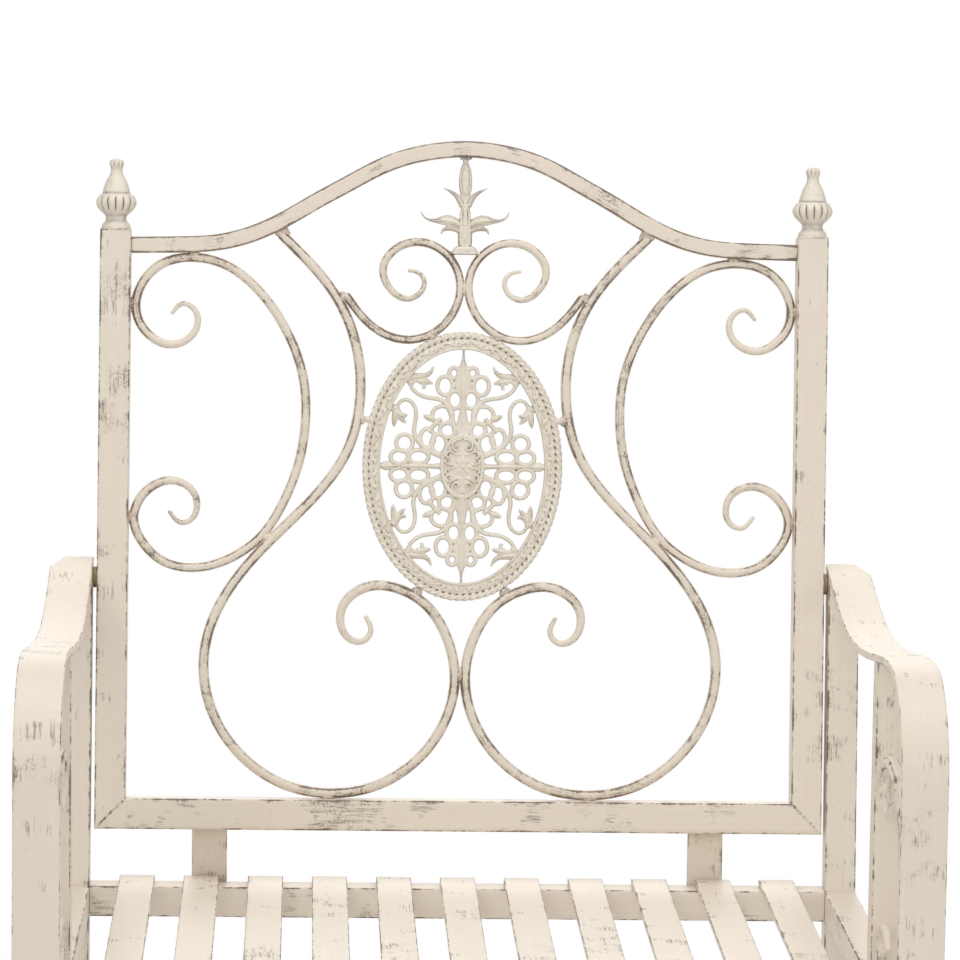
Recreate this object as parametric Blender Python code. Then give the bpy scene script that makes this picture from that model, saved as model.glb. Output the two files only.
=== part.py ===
"""Garden chair of painted iron: a scrolled back panel, two side frames and a slatted seat.

The chair faces -Y and stands on Z = 0, centred on X and Y. Sizes are in metres.
The back panel is drawn flat, X across it and Z up it, and leans back as one welded frame.
Scroll, palmette and medallion outlines are given in millimetres on the drawing and fitted
to the panel, so that each bar ends up against the post, rail or bar that it is welded to.
"""
import math

import bmesh
import bpy
import numpy as np
from mathutils import Matrix, Vector

# Fits
GAP = 0.0003
BORE_PLAY = 0.0003
MM = 0.001

# Back panel
BACK_WIDTH = 0.520
BACK_RAIL_LIFT = 0.035
RECLINE = math.radians(6.0)
POST_SIZE = 0.022
POST_LENGTH = 0.427
TUBE_WALL = 0.0015
SHOULDER_HEIGHT = 0.4222
ARCH_RISE = 0.0712
TOP_RAIL_SIZE = 0.0115
FINIAL_HEIGHT = 0.0505
FINIAL_DIAMETER = 0.029
S_BAR = 0.0075
OUTER_BAR = 0.0068
HEART_BAR = 0.0062
CURL_TAPER = 0.45
CURL_TAPER_LENGTH = 0.070

# Medallion and palmette castings
MEDALLION_HEIGHT = 0.193
EAR_RISE = 0.033
EAR_LENGTH = 0.0042
EAR_SIZE = 0.0044
EAR_DEPTH = 0.004
MEDALLION_DEPTH = 0.007
RIM_WIDTH = 0.0130
ROPE_WIDTH = 0.0052
RIM_STATIONS = 40
TRACERY_DEPTH = 0.0036
TRACERY_BAR = 0.0028
BOSS_WIDTH = 0.032
BOSS_HEIGHT = 0.047
BOSS_DEPTH = 0.0064
TIE_DEPTH = 0.0048
PALMETTE_DEPTH = 0.0052
COLLAR_DEPTH = 0.0085

# Side frames
LEG_SIZE = 0.022
SPACER_GAP = 0.003
ARM_HEIGHT = 0.656
ARM_REACH = 0.476
ARM_WIDTH = 0.030
ARM_THICKNESS = 0.005
ARM_CORNER = 0.009
ARM_OVERHANG = 0.001
LEG_BEND_HEIGHT = 0.330
LEG_BEND_RADIUS = 0.150
REAR_FOOT_SETBACK = 0.062
SUPPORT_FORWARD = 0.329
SIDE_BAR = 0.009
SIDE_SCROLL_TOP = 0.071
SIDE_SCROLL_INSET = 0.0055
STRETCHER_HEIGHT = 0.150
STRETCHER_SIZE = 0.012

# Seat
SEAT_HEIGHT = 0.430
SEAT_NOSE_SETBACK = 0.010
RAIL_SIZE = 0.022
STRIP_COUNT = 11
STRIP_WIDTH = 0.025
STRIP_THICKNESS = 0.004
STRIP_NOSE_RADIUS = 0.018
STRIP_NOSE_DROP = 0.024
LUG_WIDTH = 0.025
LUG_THICKNESS = 0.005
LUG_INSET = 0.060

# Fasteners and feet
BOLT_DIAMETER = 0.006
BOLT_HEAD_DIAMETER = 0.010
BOLT_HEAD_HEIGHT = 0.0035
BOLT_THREAD = 0.008
ARM_BOLT_DROP = 0.0128
SPACER_DIAMETER = 0.015
GLIDE_HEIGHT = 0.004
GLIDE_PLUG = 0.012
BOOT_WALL = 0.002
BOOT_HEIGHT = 0.016

# The sizes that the panel and the medallion have on the drawing, in millimetres
DRAWN_HALF_WIDTH = 238.0
DRAWN_HEIGHT = 400.0
DRAWN_MEDALLION = (71.75, 96.5)

# Turning and length between two sections of a bent bar
SECTION_TURN = math.radians(29.0)
SECTION_LENGTH = 0.050
BAR_SIDES = 8

BACK_RAIL_HEIGHT = SEAT_HEIGHT + BACK_RAIL_LIFT
HALF_INSIDE = BACK_WIDTH / 2 - POST_SIZE
LEG_INSIDE = BACK_WIDTH / 2 + SPACER_GAP
WIDTH_RATIO = HALF_INSIDE / (DRAWN_HALF_WIDTH * MM)
PANEL_RATIO = (SHOULDER_HEIGHT - POST_SIZE) / (DRAWN_HEIGHT * MM)
LEG_LEAN = math.tan(RECLINE)
ARM_BOLT_HEIGHT = ARM_HEIGHT - ARM_BOLT_DROP
SEAT_BOLT_HEIGHT = SEAT_HEIGHT - STRIP_THICKNESS - GAP - RAIL_SIZE / 2
SIDES = (("left", -1), ("right", 1))


def lean_at(height):
    """How far behind its own foot the leaning back panel lies at a height above the floor."""
    return (height - BACK_RAIL_HEIGHT) * LEG_LEAN


REAR_FOOT_RAKE = (REAR_FOOT_SETBACK - lean_at(LEG_BEND_HEIGHT)) / (
    LEG_BEND_HEIGHT - GLIDE_HEIGHT - GAP)
REAR_FOOT_STRETCH = math.sqrt(1 + REAR_FOOT_RAKE**2)

# The front glides' faces and the rear glides' backs lie equally far from the origin.
FRONT_REACH = ARM_REACH - lean_at(ARM_HEIGHT) + BOOT_WALL
REAR_REACH = REAR_FOOT_SETBACK + (LEG_SIZE + BOOT_WALL) / 2 * REAR_FOOT_STRETCH
BACK_PLANE_Y = (FRONT_REACH - REAR_REACH) / 2


def plane_y(height):
    """Where the middle of the back panel and of the upper rear legs lies at a height."""
    return BACK_PLANE_Y + lean_at(height)


def start_scene():
    for leftover in list(bpy.data.objects):
        bpy.data.objects.remove(leftover)


def make_material(name, colour, roughness, metallic):
    finish = bpy.data.materials.new(name)
    finish.use_nodes = True
    shader = finish.node_tree.nodes["Principled BSDF"]
    shader.inputs["Base Color"].default_value = (*colour, 1.0)
    shader.inputs["Roughness"].default_value = roughness
    shader.inputs["Metallic"].default_value = metallic
    finish.diffuse_color = (*colour, 1.0)
    return finish


def make_object(name, vertices, faces, finish, parent=None):
    """One closed body with its faces turned outwards and its round stretches shaded smooth."""
    work = bmesh.new()
    corners = [work.verts.new(vertex) for vertex in vertices]
    for face in faces:
        work.faces.new([corners[index] for index in face])
    bmesh.ops.recalc_face_normals(work, faces=work.faces)
    mesh = bpy.data.meshes.new(name)
    work.to_mesh(mesh)
    work.free()
    mesh.shade_smooth()
    mesh.set_sharp_from_angle(angle=math.radians(35.0))
    body = bpy.data.objects.new(name, mesh)
    bpy.context.collection.objects.link(body)
    body.data.materials.append(finish)
    body.parent = parent
    return body


def make_cutter(name, vertices, faces, parent=None):
    """A solid that only cuts or adds to another one and isn't a piece of the chair."""
    guide = make_object(name, vertices, faces, bpy.data.materials["guide"], parent)
    guide.hide_render = True
    guide.display_type = "WIRE"
    return guide


def add_boolean(body, operation, other, use_self=False):
    step = body.modifiers.new(other.name, "BOOLEAN")
    step.operation = operation
    step.solver = "EXACT"
    step.use_self = use_self
    step.object = other


def skin(rings, closed=False):
    """Vertices and faces of a skin over rings of equally many points, capped unless closed."""
    count = len(rings[0])
    vertices = [point for ring in rings for point in ring]
    faces = []
    spans = len(rings) if closed else len(rings) - 1
    for span in range(spans):
        here = span * count
        there = (span + 1) % len(rings) * count
        for side in range(count):
            after = (side + 1) % count
            faces.append((here + side, here + after, there + after, there + side))
    if not closed:
        faces.append(tuple(range(count)))
        faces.append(tuple(range(len(vertices) - count, len(vertices))))
    return vertices, faces


def tube_skin(outer, inner, capped=False):
    """A tube's outer and inner walls, open at its start, and at its end unless it is capped."""
    count = len(outer[0])
    outer_vertices, outer_faces = skin(outer)
    inner_vertices, inner_faces = skin(inner)
    shift = len(outer_vertices)
    vertices = outer_vertices + inner_vertices
    end = [outer_faces[-1], tuple(index + shift for index in inner_faces[-1])]
    faces = outer_faces[:-2] + [tuple(index + shift for index in face) for face in inner_faces[:-2]]
    rims = [(0, shift)]
    if capped:
        faces += end
    else:
        rims.append((shift - count, shift + len(inner_vertices) - count))
    for outside, inside in rims:
        for side in range(count):
            after = (side + 1) % count
            faces.append((outside + side, outside + after, inside + after, inside + side))
    return vertices, faces


def spline(points, samples=600):
    """Points close together along the smooth curve through a few given points."""
    knots = np.array(points, dtype=float)
    steps = np.linalg.norm(np.diff(knots, axis=0), axis=1)
    along = np.concatenate([[0.0], np.cumsum(steps)])
    system = np.eye(len(knots))
    target = np.zeros_like(knots)
    for i in range(1, len(knots) - 1):
        system[i, i - 1] = steps[i - 1]
        system[i, i] = 2 * (steps[i - 1] + steps[i])
        system[i, i + 1] = steps[i]
        slope_after = (knots[i + 1] - knots[i]) / steps[i]
        slope_before = (knots[i] - knots[i - 1]) / steps[i - 1]
        target[i] = 6 * (slope_after - slope_before)
    bend = np.linalg.solve(system, target)
    places = np.linspace(0.0, along[-1], samples)
    spans = np.clip(np.searchsorted(along, places, side="right") - 1, 0, len(steps) - 1)
    length = steps[spans][:, None]
    before = (places - along[spans])[:, None]
    after = length - before
    start, finish = knots[spans], knots[spans + 1]
    return (
        bend[spans] * after**3 / (6 * length)
        + bend[spans + 1] * before**3 / (6 * length)
        + (start / length - bend[spans] * length / 6) * after
        + (finish / length - bend[spans + 1] * length / 6) * before
    )


def space_out(path, turn=SECTION_TURN, longest=SECTION_LENGTH):
    """The path again with fewer points: close in the tight curls, far apart where it is straight."""
    path = np.asarray(path)
    steps = np.diff(path, axis=0)
    lengths = np.linalg.norm(steps, axis=1)
    headings = np.unwrap(np.arctan2(steps[:, 1], steps[:, 0]))
    turning = np.abs(np.diff(headings, prepend=headings[0]))
    effort = np.concatenate([[0.0], np.cumsum(turning / turn + lengths / longest)])
    count = max(3, int(round(effort[-1])) + 1)
    wanted = np.linspace(0.0, effort[-1], count)
    columns = [np.interp(wanted, effort, path[:, axis]) for axis in range(2)]
    return np.stack(columns, axis=1)


def rounded_path(corners, radius, steps=4):
    """A run through corner points with each inner corner turned into an arc."""
    corners = [Vector(corner) for corner in corners]
    path = [corners[0]]
    for before, corner, after in zip(corners, corners[1:], corners[2:]):
        arrive = (corner - before).normalized()
        leave = (after - corner).normalized()
        turn = arrive.angle(leave)
        cut = radius * math.tan(turn / 2)
        start = corner - arrive * cut
        centre = start + (leave - arrive * arrive.dot(leave)).normalized() * radius
        for step in range(steps + 1):
            angle = turn * step / steps
            outward = (start - centre) * math.cos(angle)
            path.append(centre + outward + arrive * radius * math.sin(angle))
    path.append(corners[-1])
    return np.array([tuple(point) for point in path])


def path_frames(path):
    """Each point of a flat path with its direction and its left-hand normal."""
    path = np.asarray(path, dtype=float)
    ahead = np.gradient(path, axis=0)
    ahead /= np.linalg.norm(ahead, axis=1)[:, None]
    normals = np.stack([-ahead[:, 1], ahead[:, 0]], axis=1)
    return zip(path, ahead, normals)


def distance(path_a, path_b):
    """The least distance between two runs of straight stretches that don't cross."""
    least = math.inf
    for points, line in ((path_a, path_b), (path_b, path_a)):
        if len(line) < 2:
            continue
        points, line = np.asarray(points)[:, None, :], np.asarray(line)
        start, stretch = line[:-1], line[1:] - line[:-1]
        share = ((points - start) * stretch).sum(axis=2) / (stretch**2).sum(axis=1)
        nearest = start + np.clip(share, 0.0, 1.0)[:, :, None] * stretch
        least = min(least, float(np.sqrt(((points - nearest)**2).sum(axis=2)).min()))
    return least


def slide(is_clear, start, stop, strides=60):
    """How far something moves from start towards stop before it first meets its neighbour."""
    stride = (stop - start) / strides
    reached = start
    for _ in range(strides):
        if not is_clear(reached + stride):
            break
        reached += stride
    for _ in range(16):
        stride /= 2
        if is_clear(reached + stride):
            reached += stride
    return reached


def bar_radii(path, size, free_ends):
    """The half thickness along a bar whose free ends are drawn out thin."""
    lengths = np.linalg.norm(np.diff(path, axis=0), axis=1)
    along = np.concatenate([[0.0], np.cumsum(lengths)])
    reach = np.full(len(path), CURL_TAPER_LENGTH)
    if free_ends[0]:
        reach = np.minimum(reach, along)
    if free_ends[1]:
        reach = np.minimum(reach, along[-1] - along)
    return size / 2 * (CURL_TAPER + (1 - CURL_TAPER) * reach / CURL_TAPER_LENGTH)


def round_bar(path, radii, place):
    """A skin over circles along a flat path; place turns (along, up, across) into a point."""
    rings = []
    for (point, _, normal), radius in zip(path_frames(path), radii):
        ring = []
        for side in range(BAR_SIDES):
            angle = 2 * math.pi * side / BAR_SIDES
            across = point + normal * radius * math.cos(angle)
            ring.append(place(across[0], across[1], radius * math.sin(angle)))
        rings.append(ring)
    return skin(rings)


def on_panel(sign):
    """Panel points: the drawing's half, turned to the left or right side of the chair."""
    return lambda across, up, depth: (sign * across, depth, up)


def on_side(across):
    """Points of a side frame: forward and up on a plane at one place across the chair."""
    return lambda forward, up, depth: (across + depth, -forward, up)


def box_ring(x0, x1, y0, y1, z):
    return [(x0, y0, z), (x1, y0, z), (x1, y1, z), (x0, y1, z)]


def box(x0, x1, y0, y1, z0, z1):
    return skin([box_ring(x0, x1, y0, y1, z0), box_ring(x0, x1, y0, y1, z1)])


def disc_rings(stations, sides, place):
    """Rings round an axis from (distance along it, radius) pairs."""
    rings = []
    for along, radius in stations:
        ring = []
        for side in range(sides):
            angle = 2 * math.pi * (side + 0.5) / sides
            ring.append(place(along, radius * math.cos(angle), radius * math.sin(angle)))
        rings.append(ring)
    return rings


# Back panel: the rails and posts

def top_rail_points():
    """The upper edge of the arched rail on the drawing, from the middle to the post."""
    drawn = [
        (0, 71.2), (21, 69.6), (43, 65.0), (64, 57.0), (85, 45.6), (107, 33.4), (128, 20.9),
        (149, 10.4), (165, 5.0), (181, 2.0), (200, 0.8), (DRAWN_HALF_WIDTH, 0),
    ]
    rise = ARCH_RISE / drawn[0][1]
    width = HALF_INSIDE / DRAWN_HALF_WIDTH
    half = [(across * width, SHOULDER_HEIGHT + up * rise) for across, up in drawn]
    whole = [(-across, up) for across, up in reversed(half[1:])] + half
    return spline(whole)


RAIL_UPPER_EDGE = space_out(top_rail_points(), math.radians(10.0), 0.045)
RAIL_UNDERSIDE = np.array([
    point - normal * TOP_RAIL_SIZE for point, _, normal in path_frames(RAIL_UPPER_EDGE)
])


def make_top_rail(finish, panel):
    end = HALF_INSIDE - GAP
    rings = []
    for point, low in zip(RAIL_UPPER_EDGE, RAIL_UNDERSIDE):
        rings.append([
            (point[0], -TOP_RAIL_SIZE / 2, point[1]), (point[0], TOP_RAIL_SIZE / 2, point[1]),
            (low[0], TOP_RAIL_SIZE / 2, low[1]), (low[0], -TOP_RAIL_SIZE / 2, low[1]),
        ])
    for ring, across in ((rings[0], -end), (rings[-1], end)):
        ring[:] = [(across, depth, up) for _, depth, up in ring]
    make_object("back_top_rail", *skin(rings), finish, panel)


def mitred_ring(inset, start, sign):
    """The square end of a post, cut at 45 degrees towards the middle of the chair."""
    outer = BACK_WIDTH / 2 - inset
    inner = HALF_INSIDE + inset
    half = POST_SIZE / 2 - inset
    ring = []
    for across, depth in ((inner, -half), (outer, -half), (outer, half), (inner, half)):
        up = start + BACK_WIDTH / 2 - across
        ring.append((sign * across, depth, up))
    return ring


def flat_ring(inset, up, sign):
    outer = BACK_WIDTH / 2 - inset
    inner = HALF_INSIDE + inset
    half = POST_SIZE / 2 - inset
    ring = ((inner, -half), (outer, -half), (outer, half), (inner, half))
    return [(sign * across, depth, up) for across, depth in ring]


def make_rail_clearance(panel):
    """Everything above the arched rail's underside, which trims the long scrolls' upper ends."""
    outline = [(x, z - GAP) for x, z in RAIL_UNDERSIDE]
    top = SHOULDER_HEIGHT + ARCH_RISE
    outline += [(outline[-1][0], top), (outline[0][0], top)]
    rings = []
    for depth in (-POST_SIZE / 2, POST_SIZE / 2):
        rings.append([(x, depth, z) for x, z in outline])
    return make_cutter("rail_clearance", *skin(rings), panel)


def make_post(side, sign, finish, panel, bolt_hole):
    mitre_gap = GAP / 2 * math.sqrt(2)
    outer = [mitred_ring(0, mitre_gap, sign), flat_ring(0, POST_LENGTH, sign)]
    inner = [mitred_ring(TUBE_WALL, mitre_gap, sign)]
    inner.append(flat_ring(TUBE_WALL, POST_LENGTH - TUBE_WALL, sign))
    post = make_object(f"back_post_{side}", *tube_skin(outer, inner, capped=True), finish, panel)
    add_boolean(post, "DIFFERENCE", bolt_hole)


def make_bottom_rail(finish, panel):
    mitre_gap = GAP / 2 * math.sqrt(2)
    rings = []
    for inset in (0, TUBE_WALL):
        half = POST_SIZE / 2 - inset
        low, high = inset, POST_SIZE - inset
        pair = []
        for sign in (-1, 1):
            ring = []
            for up, depth in ((low, -half), (high, -half), (high, half), (low, half)):
                ring.append((sign * (BACK_WIDTH / 2 - mitre_gap - up), depth, up))
            pair.append(ring)
        rings.append(pair)
    make_object("back_bottom_rail", *tube_skin(rings[0], rings[1]), finish, panel)


def make_finial(side, sign, finish, panel):
    """A cast finial: flared foot, neck, round bowl, pointed bud and knob."""
    profile = [
        (0.0, 0.72), (2.6, 0.68), (6.0, 0.50), (9.6, 0.51), (15.6, 0.94), (19.5, 1.0),
        (24.4, 0.86), (25.6, 0.70), (32.2, 0.57), (40.0, 0.32), (44.0, 0.30), (46.6, 0.36),
        (49.4, 0.30), (50.5, 0.10),
    ]
    tall = (FINIAL_HEIGHT - GAP) / profile[-1][0]
    stations = [(up * tall, share * FINIAL_DIAMETER / 2) for up, share in profile]
    middle = sign * (BACK_WIDTH - POST_SIZE) / 2
    foot = POST_LENGTH + GAP

    def place(along, across, depth):
        return (middle + across, depth, foot + along)

    make_object(f"finial_{side}", *skin(disc_rings(stations, 12, place)), finish, panel)


# Back panel: the scrolls

S_DRAWN = [
    (130, 424), (113, 407.5), (90, 379), (74.5, 336), (73.5, 308), (82, 272), (107.1, 236.6),
    (149.6, 193.1), (170.5, 164), (181.5, 135), (182.5, 107), (173.5, 78), (151.5, 50), (123.5, 33),
    (91, 27.5), (59.5, 33), (27.5, 54), (10, 80), (3.5, 108), (9.5, 139.5), (25.5, 163),
    (47.5, 174.5), (60, 176), (75, 171), (84.5, 160), (85.5, 148), (79.5, 138), (70, 136),
    (64, 143), (67.5, 153),
]
OUTER_DRAWN = [
    (208, 368.5), (200.5, 375), (192, 370.5), (191, 357), (202, 347), (211.5, 346), (223, 351.5),
    (231.5, 362), (234, 372.5), (231, 386.5), (216, 403), (194, 408), (169.5, 402.5), (147, 385.5),
    (127.5, 358.5), (114.5, 325), (112, 300), (117, 261.5), (127.5, 234), (142.3, 210.8),
    (162.3, 195.3), (191, 187), (212, 191), (227, 204), (234, 222), (225.5, 241), (207.5, 249),
    (193, 242.5), (189, 230), (193.5, 221), (200, 219), (208.5, 226.5),
]
HEART_DRAWN = [
    (84, 383), (67.5, 363.5), (45, 353), (24.5, 356.5), (8.5, 371.5), (3.1, 390.5), (9.5, 410),
    (31.5, 422.5), (49.5, 417.5), (58.5, 403), (51.5, 387), (42, 382), (32, 386), (29, 395),
    (33, 400.5), (39.5, 402),
]


def drawn_bar(drawn, turn=SECTION_TURN):
    """A drawn bar's centre line, with its least distance across and its least height at zero."""
    line = space_out(spline(drawn) * MM, turn)
    return line - line.min(axis=0)


def fit_s_scroll():
    """Rests on the bottom rail, meets its twin at the middle and ends under the arched rail."""
    line = drawn_bar(S_DRAWN)
    place = ((S_BAR + GAP) / 2, POST_SIZE + S_BAR / 2 + GAP)

    def clear_of_arch(height):
        return distance(line[:1] * (WIDTH_RATIO, height) + place, RAIL_UNDERSIDE) > S_BAR / 2

    height = slide(clear_of_arch, PANEL_RATIO * 0.85, PANEL_RATIO * 1.2)
    return line * (WIDTH_RATIO, height) + place


S_CURVE = fit_s_scroll()


def fit_outer_scroll():
    """Bears on the post, hangs under the top rail and just touches the long scroll."""
    line = drawn_bar(OUTER_DRAWN)
    span = line.max(axis=0)
    left = HALF_INSIDE - OUTER_BAR / 2 - GAP - span[0] * WIDTH_RATIO

    def placed(height):
        curve = line * (WIDTH_RATIO, height) + (left, 0.0)

        def under_rail(lift):
            return distance(curve + (0.0, lift), RAIL_UNDERSIDE) > OUTER_BAR / 2 + GAP

        lowest = SHOULDER_HEIGHT - span[1] * height - TOP_RAIL_SIZE * 3
        return curve + (0.0, slide(under_rail, lowest, SHOULDER_HEIGHT))

    def clear_of_s(height):
        return distance(placed(height), S_CURVE) > (OUTER_BAR + S_BAR) / 2 + GAP

    return placed(slide(clear_of_s, PANEL_RATIO * 0.8, PANEL_RATIO * 1.3, 30))


OUTER_CURVE = fit_outer_scroll()


def fit_heart_scroll():
    """Leans its butt end on the long scroll and meets its twin at the middle."""
    curve = drawn_bar(HEART_DRAWN) * (WIDTH_RATIO, PANEL_RATIO) + ((HEART_BAR + GAP) / 2, 0.0)

    def clear_of_s(low):
        return distance(curve + (0.0, low), S_CURVE) > (HEART_BAR + S_BAR) / 2 + GAP

    return curve + (0.0, slide(clear_of_s, SHOULDER_HEIGHT * 0.86, SHOULDER_HEIGHT * 0.7))


HEART_CURVE = fit_heart_scroll()


def make_scroll(name, path, size, free_ends, finish, panel, trim=None):
    radii = bar_radii(path, size, free_ends)
    if trim:
        ahead = path[0] - path[1]
        path = np.vstack([path[0] + ahead / np.linalg.norm(ahead) * size, path])
        radii = np.insert(radii, 0, size / 2)
    for side, sign in SIDES:
        scroll = make_object(f"{name}_{side}", *round_bar(path, radii, on_panel(sign)),
                             finish, panel)
        if trim:
            add_boolean(scroll, "DIFFERENCE", trim)


# Back panel: the oval medallion

def ellipse(half, count, turn=0.0):
    angles = 2 * math.pi * (np.arange(count) + turn) / count
    return np.stack([half[0] * np.cos(angles), half[1] * np.sin(angles)], axis=1)


def hang_medallion(half):
    """The height at which a rim of these half sizes just clears the two heart scrolls."""
    outline = ellipse(half, RIM_STATIONS)
    outline = np.vstack([outline, outline[:1]])

    def clear(height):
        return distance(outline + (0.0, height), HEART_CURVE) > HEART_BAR / 2 + GAP

    return slide(clear, HEART_CURVE[:, 1].min() - MEDALLION_HEIGHT, SHOULDER_HEIGHT)


def beside_ears(height):
    """How far from the middle the long scroll's inner face passes at a height."""
    above = S_CURVE[:, 1] > height
    crossings = []
    for index in np.flatnonzero(above[:-1] != above[1:]):
        (x0, z0), (x1, z1) = S_CURVE[index], S_CURVE[index + 1]
        crossings.append(x0 + (x1 - x0) * (height - z0) / (z1 - z0))
    return min(crossings) - S_BAR / 2 - GAP


def fit_medallion():
    """The rim's half sizes and height: hung from the heart scrolls, with room for its ears."""
    half_height = MEDALLION_HEIGHT / 2
    at_ears = math.sqrt(1 - (EAR_RISE / half_height) ** 2)
    half = np.array([half_height, half_height])
    for _ in range(12):
        height = hang_medallion(half)
        half[0] = (beside_ears(height + EAR_RISE) - EAR_LENGTH) / at_ears
    return half, hang_medallion(half)


MEDALLION_HALF, MEDALLION_UP = fit_medallion()
MEDALLION_RATIO = MEDALLION_HALF / (np.array(DRAWN_MEDALLION) * MM)


def rim_skin():
    """The rim: a round cord outside, a hollow, a flat band for the leaf pattern and a bead."""
    half = MEDALLION_DEPTH / 2
    section = [
        (0.0, 0.35), (ROPE_WIDTH * 0.3, 0.95), (ROPE_WIDTH * 0.75, 0.95), (ROPE_WIDTH, 0.5),
        (RIM_WIDTH * 0.85, 0.58), (RIM_WIDTH * 0.96, 0.9),
        (RIM_WIDTH, -1.0), (0.0, -1.0),
    ]
    rings = []
    for station in range(RIM_STATIONS):
        angle = 2 * math.pi * station / RIM_STATIONS
        outward = np.array([math.cos(angle), math.sin(angle)])
        normal = outward * MEDALLION_HALF[::-1]
        normal /= np.linalg.norm(normal)
        edge = outward * MEDALLION_HALF
        ring = []
        for inset, front in section:
            spot = edge - normal * inset
            ring.append((spot[0], -half * front, spot[1]))
        rings.append(ring)
    return skin(rings, closed=True)


def stroke(points, width, front, back, closed=False, tips=(1.0, 1.0)):
    """A tracery bar: flat behind, with a ridge in front, along a flat path."""
    points = np.asarray(points, dtype=float)
    if closed:
        ahead = np.roll(points, -1, axis=0) - np.roll(points, 1, axis=0)
    else:
        ahead = np.gradient(points, axis=0)
    ahead /= np.linalg.norm(ahead, axis=1)[:, None]
    normals = np.stack([-ahead[:, 1], ahead[:, 0]], axis=1)
    rings = []
    for index, (point, normal) in enumerate(zip(points, normals)):
        share = index / (len(points) - 1)
        half = width / 2 * (tips[0] * (1 - share) + tips[1] * share)
        left, right = point - normal * half, point + normal * half
        rings.append([
            (left[0], back, left[1]), (point[0], -front, point[1]), (right[0], back, right[1]),
        ])
    return skin(rings, closed=closed)


def loop(centre, half, count=7, turn=0.5):
    return ellipse(np.array(half), count, turn) + centre


# One quarter of the tracery, in millimetres from the medallion's centre
TRACERY_LOOPS = [
    ((13.0, 57.6), (5.5, 6.7)), ((5.8, 47.6), (5.0, 6.2)), ((14.6, 36.6), (7.4, 6.4)),
    ((25.4, 20.0), (5.0, 6.8)), ((17.0, 16.0), (5.4, 7.0)), ((31.4, 6.6), (7.2, 4.9)),
    ((45.2, 6.4), (6.3, 4.9)), ((41.6, 16.4), (5.9, 6.1)), ((6.7, 66.8), (3.4, 3.8)),
    ((10.8, 25.8), (5.6, 5.2)),
]
TRACERY_BARS = [
    [(5.5, 25), (7.4, 33), (10.4, 41.6), (14, 46.4), (19, 48.2), (25, 49), (30.5, 50.6),
     (35, 53.8), (37.2, 57.2), (35.6, 60.4), (31.4, 61), (28, 58.6), (28.8, 55)],
    [(13, 6), (22, 10), (28, 13.6), (32.4, 18.6), (34.8, 25), (34, 32), (33.7, 39), (36.4, 45.2),
     (41.4, 47.4), (45.8, 44.6), (47.4, 40)],
]
TRACERY_LEAVES = [
    [(40, 62.6), (34, 63.9), (28.2, 64.5), (23.8, 66.8), (21.4, 71.6)],
    [(36.6, 58.2), (39.4, 62.4), (43.4, 66.4)],
    [(32, 60.9), (26.8, 60.4), (21.6, 59.1)],
    [(47.6, 41.2), (45.2, 35.4), (40.4, 30.4)],
    [(46.9, 38.4), (43.2, 35.8), (39.6, 37)],
    [(47.7, 39.4), (48.8, 33.6), (49.4, 27.6)],
    [(46.2, 42), (50.4, 40.9), (54.5, 40.5)],
    [(20.4, 34), (24.6, 34.7), (28.4, 36.6)],
]
TIE_BAR = [(15.6, 34.2), (25.0, 24.6)]
SPEAR = [(14, 2.6), (24, 1.7), (38, 2.0), (50, 1.5), (52.5, 3.2), (60.5, 0.5)]
SPIKE = [(20, 6.2), (28, 5.0), (36, 3.2), (46, 2.0), (52, 3.2), (57, 6.6), (64, 5.4), (70.5, 3.4),
         (75, 1.6), (87, 1.0)]


def pointed(profile, across, front, back):
    """A straight tapering rib on an axis of the medallion, from (distance, half width) pairs."""
    rings = []
    for along, half in profile:
        ring = ((-half, back), (0.0, -front), (half, back))
        if across:
            rings.append([(along * MM, depth, offset * MM) for offset, depth in
                          ((ring[0][0], ring[0][1]), (0.0, -front), (ring[2][0], ring[2][1]))])
        else:
            rings.append([(offset * MM, depth, along * MM) for offset, depth in ring])
    return skin(rings)


def tracery_parts():
    """All bars, loops and leaves of the tracery, mirrored to the four quarters."""
    half = TRACERY_DEPTH / 2
    width = TRACERY_BAR
    quarter = []
    for centre, size in TRACERY_LOOPS:
        quarter.append(stroke(loop(centre, size) * MM, width, half, half, closed=True))
    for points in TRACERY_BARS:
        path = space_out(spline(points) * MM, math.radians(40.0), 0.020)
        quarter.append(stroke(path, width * 0.9, half * 1.1, half * 0.98, tips=(1.2, 0.8)))
    for points in TRACERY_LEAVES:
        path = space_out(spline(points) * MM, math.radians(60.0), 0.009)
        quarter.append(stroke(path, width * 1.35, half * 1.2, half * 0.96, tips=(1.0, 0.15)))
    tie = np.array(TIE_BAR) * MM
    quarter.append(stroke(tie, width, TIE_DEPTH / 2, half * 0.94))
    parts = []
    for turn_x in (-1, 1):
        for turn_z in (-1, 1):
            for vertices, faces in quarter:
                parts.append(([(turn_x * x, y, turn_z * z) for x, y, z in vertices], faces))
    for turn in (-1, 1):
        for profile, across in ((SPEAR, True), (SPIKE, False)):
            turned = [(turn * along, width_here) for along, width_here in profile]
            parts.append(pointed(turned, across, half * 1.3, half * 0.92))
    wide, tall = MEDALLION_RATIO
    return [([(x * wide, y, z * tall) for x, y, z in vertices], faces)
            for vertices, faces in parts]


def boss_skin():
    """The small oval boss: a raised lip round a sunk field with a button in the middle."""
    size = np.array([BOSS_WIDTH / 2, BOSS_HEIGHT / 2])
    half = BOSS_DEPTH / 2
    profile = [
        (1.0, half * 0.9), (1.0, -half * 0.8), (0.93, -half), (0.84, -half * 0.72),
        (0.22, -half * 0.72), (0.16, -half),
    ]
    sides = 20
    rings = []
    for share, depth in profile:
        rings.append([(x, depth, z) for x, z in ellipse(size * share, sides)])
    return skin(rings)


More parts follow.
